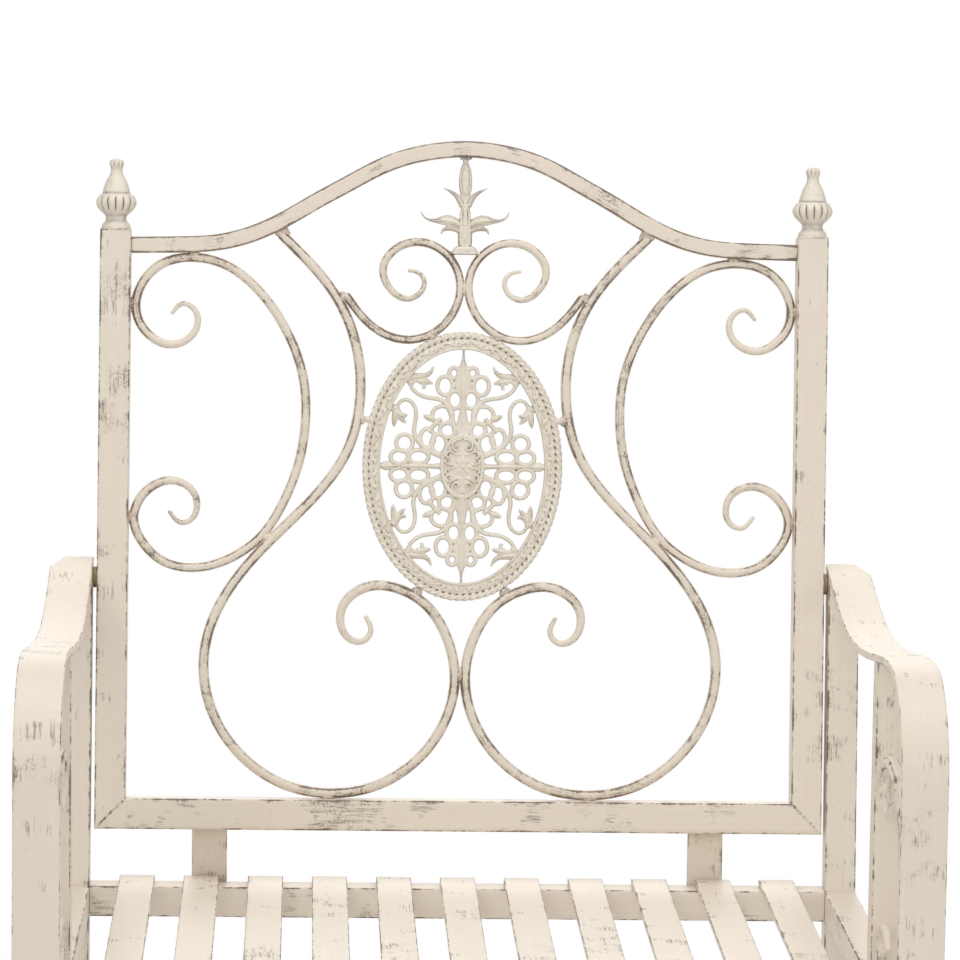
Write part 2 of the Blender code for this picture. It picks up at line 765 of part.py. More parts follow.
def ear_parts():
    """The two ears by which the casting is welded to the long scrolls."""
    edge = MEDALLION_HALF[0] * math.sqrt(1 - (EAR_RISE / MEDALLION_HALF[1]) ** 2)
    low, high = EAR_RISE - EAR_SIZE / 2, EAR_RISE + EAR_SIZE / 2
    reach = min(beside_ears(MEDALLION_UP + low), beside_ears(MEDALLION_UP + high))
    parts = []
    for turn in (-1, 1):
        x0, x1 = sorted((turn * (edge - RIM_WIDTH / 3), turn * reach))
        parts.append(box(x0, x1, -EAR_DEPTH / 2, EAR_DEPTH / 2, low, high))
    return parts


def make_medallion(finish, panel):
    vertices, faces = [], []
    parts = tracery_parts() + [boss_skin()] + ear_parts()
    for part_vertices, part_faces in parts:
        shift = len(vertices)
        vertices += part_vertices
        faces += [tuple(index + shift for index in face) for face in part_faces]
    inner = make_cutter("medallion_tracery", vertices, faces, panel)
    medallion = make_object("medallion", *rim_skin(), finish, panel)
    for body in (inner, medallion):
        body.location = (0.0, 0.0, MEDALLION_UP)
    add_boolean(medallion, "UNION", inner, use_self=True)


# Back panel: the palmette

PALMETTE_DRAWN_HEIGHT = 71.7
PALMETTE_SPEAR = [(34, 3.2), (42, 3.4), (47, 4.5), (52, 4.8), (58, 4.3), (63, 3.1), (66.5, 1.9),
                  (69, 2.9), (71.7, 3.1)]
PALMETTE_STEM = [(2, 4.9), (12, 5.2), (18, 5.2), (24, 4.5), (30, 3.5), (36, 3.4)]
PALMETTE_LEAVES = [
    ([(2, 34.8), (5, 40.4), (8.6, 43.9), (12, 45.9), (15.8, 47.6)], [2.5, 2.4, 1.6, 0.9, 0.3]),
    ([(3, 21.4), (8, 23.3), (14, 24.5), (19.5, 24.2), (24.5, 24.6), (28.3, 26.1), (30.6, 28.5),
      (31.6, 31.2)], [2.8, 3.5, 4.1, 3.3, 1.6, 1.0, 0.7, 0.3]),
    ([(2, 16.2), (8, 18.6), (13, 18.6), (15.9, 17.2), (17.2, 14.6)], [2.4, 2.1, 2.0, 1.3, 0.3]),
]
COLLAR_DRAWN = [(6.2, 0.0), (9.0, 2.6), (6.5, 6.0)]


def palmette_base():
    """The height at which the collar comes to rest on the heart scrolls."""
    outline = np.array(COLLAR_DRAWN) * MM

    def clear(height):
        return distance(outline + (0.0, height), HEART_CURVE) > HEART_BAR / 2 + GAP

    return slide(clear, SHOULDER_HEIGHT + ARCH_RISE, float(HEART_CURVE[:, 1].mean()))


def leaf_skin(points, halves, tall, half_depth):
    """A leaf with sharp edges and a ridge down its front and back."""
    rings = []
    for (point, _, normal), half in zip(path_frames(points), halves):
        edge = normal * half
        depth = half_depth * (0.35 + 0.65 * half / max(halves))
        ring = []
        for across, up, out in (
            (point[0] - edge[0], point[1] - edge[1], 0.0), (point[0], point[1], -depth),
            (point[0] + edge[0], point[1] + edge[1], 0.0), (point[0], point[1], depth),
        ):
            ring.append((across * MM, out, up * MM * tall))
        rings.append(ring)
    return skin(rings)


def make_palmette(finish, panel):
    base = palmette_base()
    underside = RAIL_UNDERSIDE[np.argsort(RAIL_UNDERSIDE[:, 0])]
    crown = float(np.interp(0.0, underside[:, 0], underside[:, 1])) - GAP
    tall = (crown - base) / (PALMETTE_DRAWN_HEIGHT * MM)
    half = PALMETTE_DEPTH / 2
    parts = [leaf_skin([(0, up) for up, _ in profile], [wide for _, wide in profile], tall, depth)
             for profile, depth in ((PALMETTE_SPEAR, half), (PALMETTE_STEM, half * 1.15))]
    for points, halves in PALMETTE_LEAVES:
        for sign in (-1, 1):
            turned = [(sign * across, up) for across, up in points]
            parts.append(leaf_skin(turned, halves, tall, half * 0.9))
    collar = []
    for wide, up in COLLAR_DRAWN:
        edge = wide * MM
        collar.append(box_ring(-edge, edge, -COLLAR_DEPTH / 2, COLLAR_DEPTH / 2, up * MM))
    vertices, faces = [], []
    for part_vertices, part_faces in parts:
        shift = len(vertices)
        vertices += part_vertices
        faces += [tuple(index + shift for index in face) for face in part_faces]
    leaves = make_cutter("palmette_leaves", vertices, faces, panel)
    palmette = make_object("palmette", *skin(collar), finish, panel)
    for body in (leaves, palmette):
        body.location = (0.0, 0.0, base)
    add_boolean(palmette, "UNION", leaves, use_self=True)


# Side frames

ARM_REAR_Y = plane_y(ARM_HEIGHT)
FRONT_LEG_Y = ARM_REAR_Y - ARM_REACH
ARM_DRAWN = [
    (11, -3.9), (40, -9.9), (69, -15.8), (118, -24.0), (172, -26.4), (240, -22.5), (302, -15.6),
    (365, -8.5), (400, -7.2), (426, -11.0), (447.5, -21.8), (464, -37.5), (473.5, -56.5),
    (476, -82),
]
ARM_DRAWN_REACH = 476.0


def arm_path():
    """The arm's upper face from its rear end to the floor: forward distance and height."""
    rear = -LEG_SIZE / 2 - ARM_OVERHANG
    reach = ARM_REACH / (ARM_DRAWN_REACH * MM)
    knots = [(rear, 0.0)]
    knots += [(forward * MM * reach, up * MM) for forward, up in ARM_DRAWN]
    wave = spline(knots)
    wave = space_out(wave, math.radians(14.0), 0.035)
    foot = (ARM_REACH, GLIDE_HEIGHT + GAP - ARM_HEIGHT)
    path = np.vstack([wave, [(ARM_REACH, wave[-1][1] - 0.05), foot]])
    path[:, 0] -= ARM_REAR_Y
    path[:, 1] += ARM_HEIGHT
    return path


ARM_PATH = arm_path()


def arm_lower_face(extra=0.0):
    return np.array([
        point - normal * (ARM_THICKNESS + extra) for point, _, normal in path_frames(ARM_PATH)
    ])


def make_arm(side, sign, finish):
    """Flat bar with its rear outer corner cut off, bent down in front to be the front leg."""
    inner = LEG_INSIDE
    outer = LEG_INSIDE + ARM_WIDTH
    frames = list(path_frames(ARM_PATH))
    start, ahead, start_normal = frames[0]
    stations = [
        (start, start_normal, outer - ARM_CORNER),
        (start + ahead * ARM_CORNER, start_normal, outer),
    ]
    stations += [(point, normal, outer) for point, _, normal in frames
                 if np.linalg.norm(point - start) > ARM_CORNER * 1.02]
    rings = []
    for point, normal, edge in stations:
        under = point - normal * ARM_THICKNESS
        rings.append([
            (sign * inner, -point[0], point[1]), (sign * edge, -point[0], point[1]),
            (sign * edge, -under[0], under[1]), (sign * inner, -under[0], under[1]),
        ])
    for ring in rings[-1:]:
        ring[:] = [(x, y, GLIDE_HEIGHT + GAP) for x, y, _ in ring]
    make_object(f"arm_and_front_leg_{side}", *skin(rings), finish)


def make_arm_clearance():
    """Everything above the arms' undersides, which trims the tubes that stand under them."""
    lower = arm_lower_face(GAP)
    level = lower[lower[:, 0] + ARM_REAR_Y < ARM_REACH * 0.85]
    behind = level[0] - (level[1] - level[0]) * 2
    outline = [behind, *level]
    top = ARM_HEIGHT + ARM_WIDTH * 2
    rings = []
    for across in (-(LEG_INSIDE + ARM_WIDTH), LEG_INSIDE + ARM_WIDTH):
        ring = [(across, -forward, up) for forward, up in outline]
        ring += [(across, -outline[-1][0], top), (across, -outline[0][0], top)]
        rings.append(ring)
    return make_cutter("arm_clearance", *skin(rings))


def make_rear_leg(side, sign, finish, arm_clearance, holes):
    """Square tube: beside the back post above the seat, and splayed backwards below it."""
    foot_height = GLIDE_HEIGHT + GAP
    corners = [
        (-plane_y(ARM_HEIGHT + LEG_SIZE), ARM_HEIGHT + LEG_SIZE),
        (-plane_y(LEG_BEND_HEIGHT), LEG_BEND_HEIGHT),
        (-(BACK_PLANE_Y + REAR_FOOT_SETBACK), foot_height),
    ]
    path = rounded_path(corners, LEG_BEND_RADIUS)
    ahead = Vector(path[-1] - path[-2])
    middle = LEG_INSIDE + LEG_SIZE / 2
    skins = []
    for inset in (0, TUBE_WALL):
        half = LEG_SIZE / 2 - inset
        rings = []
        for point, _, normal in path_frames(path):
            front, back = point - normal * half, point + normal * half
            ring = []
            for across, spot in ((-half, front), (half, front), (half, back), (-half, back)):
                ring.append((sign * (middle + across), -spot[0], spot[1]))
            rings.append(ring)
        foot = []
        for x, y, z in rings[-1]:
            slide = (foot_height - z) / ahead.y
            foot.append((x, y - ahead.x * slide, foot_height))
        rings[-1] = foot
        skins.append(rings)
    leg = make_object(f"rear_leg_{side}", *tube_skin(*skins), finish)
    add_boolean(leg, "DIFFERENCE", arm_clearance)
    for hole in holes:
        add_boolean(leg, "DIFFERENCE", hole)


SIDE_RAIL_TOP = SEAT_BOLT_HEIGHT + RAIL_SIZE / 2


def make_side_rail(side, sign, finish, hole):
    """The tube that ties the rear leg to the front leg at seat level."""
    middle = LEG_INSIDE + RAIL_SIZE / 2
    front = FRONT_LEG_Y + ARM_THICKNESS + GAP
    skins = []
    for inset in (0, TUBE_WALL):
        half = RAIL_SIZE / 2 - inset
        rings = []
        for slanted in (True, False):
            ring = []
            for across, up in ((-half, -half), (half, -half), (half, half), (-half, half)):
                height = SEAT_BOLT_HEIGHT + up
                leg_face = plane_y(height) - (LEG_SIZE / 2) / math.cos(RECLINE) - GAP
                ring.append((sign * (middle + across), leg_face if slanted else front, height))
            rings.append(ring)
        skins.append(rings)
    rail = make_object(f"side_rail_{side}", *tube_skin(*skins), finish)
    add_boolean(rail, "DIFFERENCE", hole)


def make_support(side, sign, finish, arm_clearance):
    """The square tube that carries the arm from the side rail."""
    middle = LEG_INSIDE + LEG_SIZE / 2
    y_front = ARM_REAR_Y - SUPPORT_FORWARD
    skins = []
    for inset in (0, TUBE_WALL):
        half = LEG_SIZE / 2 - inset
        x0, x1 = sorted((sign * (middle - half), sign * (middle + half)))
        y0, y1 = y_front + inset, y_front + LEG_SIZE - inset
        skins.append([box_ring(x0, x1, y0, y1, SIDE_RAIL_TOP + GAP),
                      box_ring(x0, x1, y0, y1, ARM_HEIGHT + LEG_SIZE)])
    support = make_object(f"arm_support_{side}", *tube_skin(*skins), finish)
    add_boolean(support, "DIFFERENCE", arm_clearance)


SIDE_SCROLL_DRAWN = [
    (62, 32), (54, 40), (42, 36), (40, 22), (52, 10), (70, 6), (92, 14), (106, 36), (110, 70),
    (106, 108), (92, 134), (70, 144), (50, 141), (38, 128), (42, 114), (55, 112), (61, 121),
]


def make_side_scroll(side, sign, finish):
    """A C-scroll of round bar in the bay between the arm support and the front leg."""
    support_front = SUPPORT_FORWARD
    leg_back = ARM_REACH - ARM_THICKNESS
    radius = SIDE_BAR / 2
    line = drawn_bar(SIDE_SCROLL_DRAWN)
    span = line.max(axis=0)
    low = SIDE_RAIL_TOP + radius + GAP
    high = ARM_HEIGHT - SIDE_SCROLL_TOP - radius
    width = (leg_back - support_front - 2 * (radius + GAP)) / span[0]
    height = (high - low) / span[1]
    path = line * (width, height) + (support_front + radius + GAP - ARM_REAR_Y, low)
    radii = bar_radii(path, SIDE_BAR, (True, True))
    across = sign * (LEG_INSIDE + SIDE_SCROLL_INSET)
    make_object(f"side_scroll_{side}", *round_bar(path, radii, on_side(across)), finish)


def make_stretcher(side, sign, finish):
    """The square bar low down between the rear leg and the front leg."""
    middle = LEG_INSIDE + LEG_SIZE / 2
    half = STRETCHER_SIZE / 2
    x0, x1 = sorted((sign * (middle - half), sign * (middle + half)))
    front = FRONT_LEG_Y + ARM_THICKNESS + GAP
    face_offset = LEG_SIZE / 2 * REAR_FOOT_STRETCH + GAP
    rings = []
    for up in (-half, half):
        height = STRETCHER_HEIGHT + up
        foot_rise = height - GLIDE_HEIGHT - GAP
        back = BACK_PLANE_Y + REAR_FOOT_SETBACK - REAR_FOOT_RAKE * foot_rise - face_offset
        rings.append(box_ring(x0, x1, front, back, height))
    make_object(f"side_stretcher_{side}", *skin(rings), finish)


# Seat

SEAT_FRONT_Y = FRONT_LEG_Y + SEAT_NOSE_SETBACK
FRONT_RAIL_Y = SEAT_FRONT_Y + STRIP_NOSE_RADIUS + RAIL_SIZE / 2
REAR_RAIL_Y = plane_y(SEAT_BOLT_HEIGHT)


def make_cross_rail(name, middle, finish, holes):
    """A square tube with a welded plate at each end for its bolt."""
    end = LEG_INSIDE - GAP
    half = RAIL_SIZE / 2
    plate = LUG_THICKNESS
    low, high = SEAT_BOLT_HEIGHT - half, SEAT_BOLT_HEIGHT + half
    rail = make_object(name, *box(-end, end, middle - half, middle + half, low, high), finish)
    inside = half - TUBE_WALL
    hollow = make_cutter(f"{name}_hollow", *box(
        -end + plate, end - plate, middle - inside, middle + inside,
        SEAT_BOLT_HEIGHT - inside, SEAT_BOLT_HEIGHT + inside))
    add_boolean(rail, "DIFFERENCE", hollow)
    for hole in holes:
        add_boolean(rail, "DIFFERENCE", hole)


def make_strips(finish):
    """Flat strips from the rear rail over the front rail, each with its nose bent down."""
    rear = REAR_RAIL_Y + RAIL_SIZE / 2 - STRIP_THICKNESS / 2
    corners = [(-rear, SEAT_HEIGHT), (-SEAT_FRONT_Y, SEAT_HEIGHT),
               (-SEAT_FRONT_Y, SEAT_HEIGHT - STRIP_NOSE_DROP)]
    path = rounded_path(corners, STRIP_NOSE_RADIUS)
    room = 2 * (LEG_INSIDE - GAP)
    space = (room - STRIP_COUNT * STRIP_WIDTH) / (STRIP_COUNT + 1)
    for number in range(STRIP_COUNT):
        x0 = -room / 2 + space + number * (STRIP_WIDTH + space)
        rings = []
        for point, _, normal in path_frames(path):
            under = point - normal * STRIP_THICKNESS
            rings.append([
                (x0, -point[0], point[1]), (x0 + STRIP_WIDTH, -point[0], point[1]),
                (x0 + STRIP_WIDTH, -under[0], under[1]), (x0, -under[0], under[1]),
            ])
        make_object(f"seat_strip_{number + 1}", *skin(rings), finish)


LUG_Y = REAR_RAIL_Y + RAIL_SIZE / 2 + GAP


def make_lug(side, sign, finish, hole):
    """A flat lug welded under the back's bottom rail and bolted to the seat's rear rail."""
    middle = sign * (HALF_INSIDE - LUG_INSET)
    x0, x1 = middle - LUG_WIDTH / 2, middle + LUG_WIDTH / 2
    low = SEAT_BOLT_HEIGHT - RAIL_SIZE / 2
    rings = [box_ring(x0, x1, LUG_Y, LUG_Y + LUG_THICKNESS, low)]
    top = []
    for x, y, _ in rings[0]:
        behind = y - BACK_PLANE_Y
        top.append((x, y, BACK_RAIL_HEIGHT - behind * LEG_LEAN - GAP * 2))
    rings.append(top)
    lug = make_object(f"back_lug_{side}", *skin(rings), finish)
    add_boolean(lug, "DIFFERENCE", hole)


# Fasteners and feet

def along_x(centre, sign):
    """Places a turned piece on an axis across the chair, starting at its outer end."""
    return lambda along, a, b: (centre[0] - sign * along, centre[1] + a, centre[2] + b)


def along_y(centre):
    return lambda along, a, b: (centre[0] + a, centre[1] - along, centre[2] + b)


def make_hole(name, start, length, place):
    radius = BOLT_DIAMETER / 2 + BORE_PLAY
    flats = 12
    radius /= math.cos(math.pi / flats)
    rings = disc_rings([(start, radius), (start + length, radius)], flats, place)
    return make_cutter(name, *skin(rings))


def make_bolt(name, length, place, finish):
    """A domed bolt: its head starts at the face that it bears on and its shank runs inwards."""
    head = BOLT_HEAD_DIAMETER / 2
    shank = BOLT_DIAMETER / 2
    stations = [
        (-GAP - BOLT_HEAD_HEIGHT, head * 0.35), (-GAP - BOLT_HEAD_HEIGHT * 0.72, head * 0.78),
        (-GAP - BOLT_HEAD_HEIGHT * 0.25, head), (-GAP, head), (-GAP, shank), (length, shank),
    ]
    make_object(name, *skin(disc_rings(stations, 8, place)), finish)


def make_spacer(side, sign, finish):
    middle = sign * (BACK_WIDTH / 2 + SPACER_GAP / 2)
    place = along_x((middle, plane_y(ARM_BOLT_HEIGHT), ARM_BOLT_HEIGHT), sign)
    half = SPACER_GAP / 2 - GAP
    radius = SPACER_DIAMETER / 2
    bore = BOLT_DIAMETER / 2 + BORE_PLAY
    outer = disc_rings([(-half, radius), (half, radius)], 14, place)
    inner = disc_rings([(-half, bore), (half, bore)], 14, place)
    make_object(f"spacer_{side}", *tube_skin(outer, inner), finish)


def make_rear_glide(side, sign, finish):
    """A plastic plug: a sole under the leg and a stem up inside the tube."""
    middle = sign * (LEG_INSIDE + LEG_SIZE / 2)
    foot_y = BACK_PLANE_Y + REAR_FOOT_SETBACK
    sole = (LEG_SIZE + BOOT_WALL) / 2
    sole_y = sole * REAR_FOOT_STRETCH
    stem = LEG_SIZE / 2 - TUBE_WALL - GAP
    stem_y = stem * REAR_FOOT_STRETCH
    rings = [
        box_ring(middle - sole, middle + sole, foot_y - sole_y, foot_y + sole_y, 0.0),
        box_ring(middle - sole, middle + sole, foot_y - sole_y, foot_y + sole_y, GLIDE_HEIGHT),
        box_ring(middle - stem, middle + stem, foot_y - stem_y, foot_y + stem_y, GLIDE_HEIGHT),
    ]
    tip_y = foot_y - REAR_FOOT_RAKE * GLIDE_PLUG
    rings.append(box_ring(middle - stem, middle + stem, tip_y - stem_y, tip_y + stem_y,
                          GLIDE_HEIGHT + GLIDE_PLUG))
    make_object(f"rear_glide_{side}", *skin(rings), finish)


def make_front_glide(side, sign, finish):
    """A plastic boot pushed over the end of the flat front leg."""
    x0 = LEG_INSIDE - BOOT_WALL
    x1 = LEG_INSIDE + ARM_WIDTH + BOOT_WALL
    y0, y1 = FRONT_LEG_Y - BOOT_WALL, FRONT_LEG_Y + ARM_THICKNESS + BOOT_WALL
    play = BOOT_WALL - GAP
    outer = [box_ring(*sorted((sign * x0, sign * x1)), y0, y1, up) for up in (BOOT_HEIGHT, 0.0)]
    px0, px1 = sorted((sign * (x0 + play), sign * (x1 - play)))
    inner = [box_ring(px0, px1, y0 + play, y1 - play, up) for up in (BOOT_HEIGHT, GLIDE_HEIGHT)]
    make_object(f"front_glide_{side}", *tube_skin(outer, inner, capped=True), finish)


def main():
    start_scene()
    make_material("guide", (0.5, 0.5, 0.5), 0.5, 0.0)
    cream = make_material("cream_painted_iron", (0.78, 0.72, 0.62), 0.5, 0.0)
    cast = make_material("cream_painted_casting", (0.76, 0.70, 0.60), 0.6, 0.0)
    steel = make_material("zinc_plated_steel", (0.42, 0.40, 0.36), 0.4, 0.9)
    plastic = make_material("glide_plastic", (0.62, 0.58, 0.50), 0.55, 0.0)

    panel = bpy.data.objects.new("back_panel", None)
    bpy.context.collection.objects.link(panel)
    panel.matrix_world = Matrix.Translation((0.0, BACK_PLANE_Y, BACK_RAIL_HEIGHT))
    panel.rotation_euler.x = -RECLINE

    arm_clearance = make_arm_clearance()
    leg_outside = LEG_INSIDE + LEG_SIZE
    for side, sign in SIDES:
        upper = along_x((sign * leg_outside, plane_y(ARM_BOLT_HEIGHT), ARM_BOLT_HEIGHT), sign)
        lower = along_x((sign * leg_outside, REAR_RAIL_Y, SEAT_BOLT_HEIGHT), sign)
        front = along_x((sign * leg_outside, FRONT_RAIL_Y, SEAT_BOLT_HEIGHT), sign)
        lug_x = sign * (HALF_INSIDE - LUG_INSET)
        back = along_y((lug_x, LUG_Y + LUG_THICKNESS, SEAT_BOLT_HEIGHT))

        arm_bolt = LEG_SIZE + SPACER_GAP + BOLT_THREAD
        seat_bolt = LEG_SIZE + LUG_THICKNESS + BOLT_THREAD
        lug_bolt = LUG_THICKNESS + TUBE_WALL + BOLT_THREAD
        spare = 0.002
        upper_hole = make_hole(f"arm_bolt_hole_{side}", -spare, arm_bolt + spare * 2, upper)
        lower_hole = make_hole(f"rear_bolt_hole_{side}", -spare, seat_bolt + spare * 2, lower)
        front_hole = make_hole(f"front_bolt_hole_{side}", -spare, seat_bolt + spare * 2, front)
        lug_hole = make_hole(f"lug_bolt_hole_{side}", -spare, lug_bolt + spare, back)
        make_bolt(f"arm_bolt_{side}", arm_bolt, upper, steel)
        make_bolt(f"rear_seat_bolt_{side}", seat_bolt, lower, steel)
        make_bolt(f"front_seat_bolt_{side}", seat_bolt, front, steel)
        make_bolt(f"lug_bolt_{side}", lug_bolt, back, steel)

        make_post(side, sign, cream, panel, upper_hole)
        make_finial(side, sign, cast, panel)
        make_arm(side, sign, cream)
        make_rear_leg(side, sign, cream, arm_clearance, (upper_hole, lower_hole))
        make_side_rail(side, sign, cream, front_hole)
        make_support(side, sign, cream, arm_clearance)
        make_side_scroll(side, sign, cream)
        make_stretcher(side, sign, cream)
        make_lug(side, sign, cream, lug_hole)
        make_spacer(side, sign, steel)
        make_rear_glide(side, sign, plastic)
        make_front_glide(side, sign, plastic)

    def holes(*names):
        return [bpy.data.objects[f"{name}_hole_{side}"] for name in names for side, _ in SIDES]

    make_cross_rail("seat_front_rail", FRONT_RAIL_Y, cream, holes("front_bolt"))
    make_cross_rail("seat_rear_rail", REAR_RAIL_Y, cream, holes("rear_bolt", "lug_bolt"))
    make_strips(cream)
    make_bottom_rail(cream, panel)
    make_top_rail(cream, panel)
    rail_clearance = make_rail_clearance(panel)
    make_scroll("s_scroll", S_CURVE, S_BAR, (False, True), cream, panel, rail_clearance)
    make_scroll("outer_scroll", OUTER_CURVE, OUTER_BAR, (True, True), cream, panel)
    make_scroll("heart_scroll", HEART_CURVE, HEART_BAR, (False, True), cream, panel)
    make_medallion(cast, panel)
    make_palmette(cast, panel)


main()
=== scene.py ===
"""Looks of the painted iron garden chair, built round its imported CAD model."""
import math

import bmesh
import bpy
import numpy as np
from mathutils import Matrix, Vector


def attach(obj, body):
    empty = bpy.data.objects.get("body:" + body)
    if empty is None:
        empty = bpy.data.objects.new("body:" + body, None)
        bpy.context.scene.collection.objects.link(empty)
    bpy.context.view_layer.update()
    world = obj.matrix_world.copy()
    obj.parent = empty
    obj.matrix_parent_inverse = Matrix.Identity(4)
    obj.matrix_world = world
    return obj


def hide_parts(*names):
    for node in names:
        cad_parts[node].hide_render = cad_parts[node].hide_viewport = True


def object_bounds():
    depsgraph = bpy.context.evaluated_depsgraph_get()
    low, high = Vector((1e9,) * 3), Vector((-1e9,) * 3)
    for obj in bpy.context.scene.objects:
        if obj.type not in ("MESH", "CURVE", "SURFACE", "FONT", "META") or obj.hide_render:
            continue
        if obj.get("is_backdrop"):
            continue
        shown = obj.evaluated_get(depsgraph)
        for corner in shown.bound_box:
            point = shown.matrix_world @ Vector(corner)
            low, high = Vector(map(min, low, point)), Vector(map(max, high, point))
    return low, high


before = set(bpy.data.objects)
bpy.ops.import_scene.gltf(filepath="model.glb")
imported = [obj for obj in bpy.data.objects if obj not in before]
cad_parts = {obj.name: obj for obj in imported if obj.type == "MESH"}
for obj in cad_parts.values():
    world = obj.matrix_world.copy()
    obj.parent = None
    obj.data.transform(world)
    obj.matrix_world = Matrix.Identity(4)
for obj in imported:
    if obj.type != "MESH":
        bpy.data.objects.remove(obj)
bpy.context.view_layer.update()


# The camera stands low before the chair and a little to its left, far off behind a long lens,
# so that the scrolled back is seen nearly square on, as in the photograph.
CAMERA_PLACE = (-0.1150, -3.3940, 1.1605)
CAMERA_TURN = math.radians(2.026)
CAMERA_TILT = math.radians(7.027)
CAMERA_ROLL = math.radians(0.872)
camera_data = bpy.data.cameras.new("long_lens")
camera_data.sensor_width = 36.0
camera_data.lens = 190.8
camera_data.clip_end = 100.0
camera = bpy.data.objects.new("camera", camera_data)
bpy.context.scene.collection.objects.link(camera)
camera.location = CAMERA_PLACE
camera.rotation_mode = "QUATERNION"
camera.rotation_quaternion = (
    Matrix.Rotation(-CAMERA_TURN, 4, "Z") @ Matrix.Rotation(math.pi / 2 - CAMERA_TILT, 4, "X")
    @ Matrix.Rotation(CAMERA_ROLL, 4, "Z")).to_quaternion()
bpy.context.scene.camera = camera


# The sweep is white all round. The floor is a wide white board that takes the chair's shadow
# and turns plain white further out, so that the chair stands against clean white.
class Wire:
    """One output of a shader node. Sums and products of wires add the Math nodes."""

    def __init__(self, tree, socket):
        self.tree = tree
        self.socket = socket

    def node(self, kind, settings=(), sockets=(), output=0):
        """Adds a node with these settings, feeds its sockets and gives one of its outputs."""
        added = self.tree.nodes.new(kind)
        for key, value in dict(settings).items():
            setattr(added, key, value)
        for key, value in dict(sockets).items():
            if isinstance(value, Wire):
                self.tree.links.new(value.socket, added.inputs[key])
            else:
                added.inputs[key].default_value = value
        return Wire(self.tree, added.outputs[output] if added.outputs else None)

    def math(self, operation, *values):
        return self.node("ShaderNodeMath", {"operation": operation},
                         {index: value for index, value in enumerate((self, *values))})

    def __add__(self, other):
        return self.math("ADD", other)

    def __radd__(self, other):
        return self.math("ADD", other)

    def __sub__(self, other):
        return self.math("SUBTRACT", other)

    def __rsub__(self, other):
        return (self * -1.0).math("ADD", other)

    def __mul__(self, other):
        return self.math("MULTIPLY", other)

    def __rmul__(self, other):
        return self.math("MULTIPLY", other)


def start_tree(owner):
    """Empties the node tree of a material or a world and gives a first wire in it."""
    owner.use_nodes = True
    owner.node_tree.nodes.clear()
    return Wire(owner.node_tree, None)


def start_material(name):
    """A new material, and a first wire in its empty tree."""
    finish = bpy.data.materials.new(name)
    return finish, start_tree(finish)


def smooth_step(wire, low, high):
    """0 below low, 1 above high and an S-shaped rise between them."""
    return wire.node("ShaderNodeMapRange", {"interpolation_type": "SMOOTHSTEP"},
                     {"Value": wire, "From Min": low, "From Max": high})


def seen(start):
    """1 where a ray comes from the camera, straight or by way of a mirror or glass, else 0."""
    camera_ray, glossy_ray, clear_ray = [
        start.node("ShaderNodeLightPath", output=f"Is {kind} Ray")
        for kind in ("Camera", "Glossy", "Transmission")]
    return (camera_ray + glossy_ray + clear_ray).math("MINIMUM", 1.0)


WHITE = (1.0, 1.0, 1.0, 1.0)
BOARD_WHITE = (0.86, 0.86, 0.86, 1.0)
SWEEP_START, SWEEP_END = 0.7, 1.8
floor_finish, start = start_material("white_floor")
place = start.node("ShaderNodeTexCoord", output="Object")
away = start.node("ShaderNodeVectorMath", {"operation": "LENGTH"}, {0: place}, "Value")
open_white = smooth_step(away, SWEEP_START, SWEEP_END) * seen(start)
board = start.node("ShaderNodeBsdfDiffuse", (), {"Color": BOARD_WHITE})
glow = start.node("ShaderNodeEmission", (), {"Color": WHITE})
mixed = start.node("ShaderNodeMixShader", (), {0: open_white, 1: board, 2: glow})
start.node("ShaderNodeOutputMaterial", (), {"Surface": mixed})

floor_shape = bmesh.new()
bmesh.ops.create_circle(floor_shape, cap_ends=True, segments=64, radius=40.0)
floor_mesh = bpy.data.meshes.new("floor")
floor_shape.to_mesh(floor_mesh)
floor_shape.free()
floor = bpy.data.objects.new("floor", floor_mesh)
floor.location.z = -0.0005
floor_mesh.materials.append(floor_finish)
bpy.context.scene.collection.objects.link(floor)
floor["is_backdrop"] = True

world = bpy.data.worlds.new("white_room")
bpy.context.scene.world = world
sky = start_tree(world)
ROOM_LIGHT = 0.60
level = seen(sky) * (1.0 - ROOM_LIGHT) + ROOM_LIGHT
room = sky.node("ShaderNodeBackground", (), {"Color": WHITE, "Strength": level})
sky.node("ShaderNodeOutputWorld", (), {"Surface": room})


# Soft studio light: a very broad lamp behind the camera, one overhead, a weak fill from the
# right, and one from behind that gives the tops of the arms their sheen and lights the rear.
def add_lamp(name, place, target, size, watts):
    """A round lamp of this size, aimed at its target."""
    lamp_data = bpy.data.lights.new(name, "AREA")
    lamp_data.shape = "DISK"
    lamp_data.size = size
    lamp_data.energy = watts
    lamp = bpy.data.objects.new(name, lamp_data)
    bpy.context.scene.collection.objects.link(lamp)
    lamp.location = place
    lamp.rotation_mode = "QUATERNION"
    lamp.rotation_quaternion = (Vector(target) - Vector(place)).to_track_quat("-Z", "Y")


add_lamp("front_lamp", (-2.0, -6.9, 3.2), (0.0, 0.1, 0.6), 3.2, 101.0)
add_lamp("top_lamp", (0.0, -0.3, 3.2), (0.0, 0.0, 0.5), 1.8, 26.0)
add_lamp("right_fill", (2.6, -1.6, 1.4), (0.0, 0.1, 0.6), 1.6, 7.0)
add_lamp("rear_lamp", (0.1, 3.2, 1.9), (0.0, 0.1, 0.6), 2.0, 20.0)
bpy.context.scene.view_settings.view_transform = "Standard"


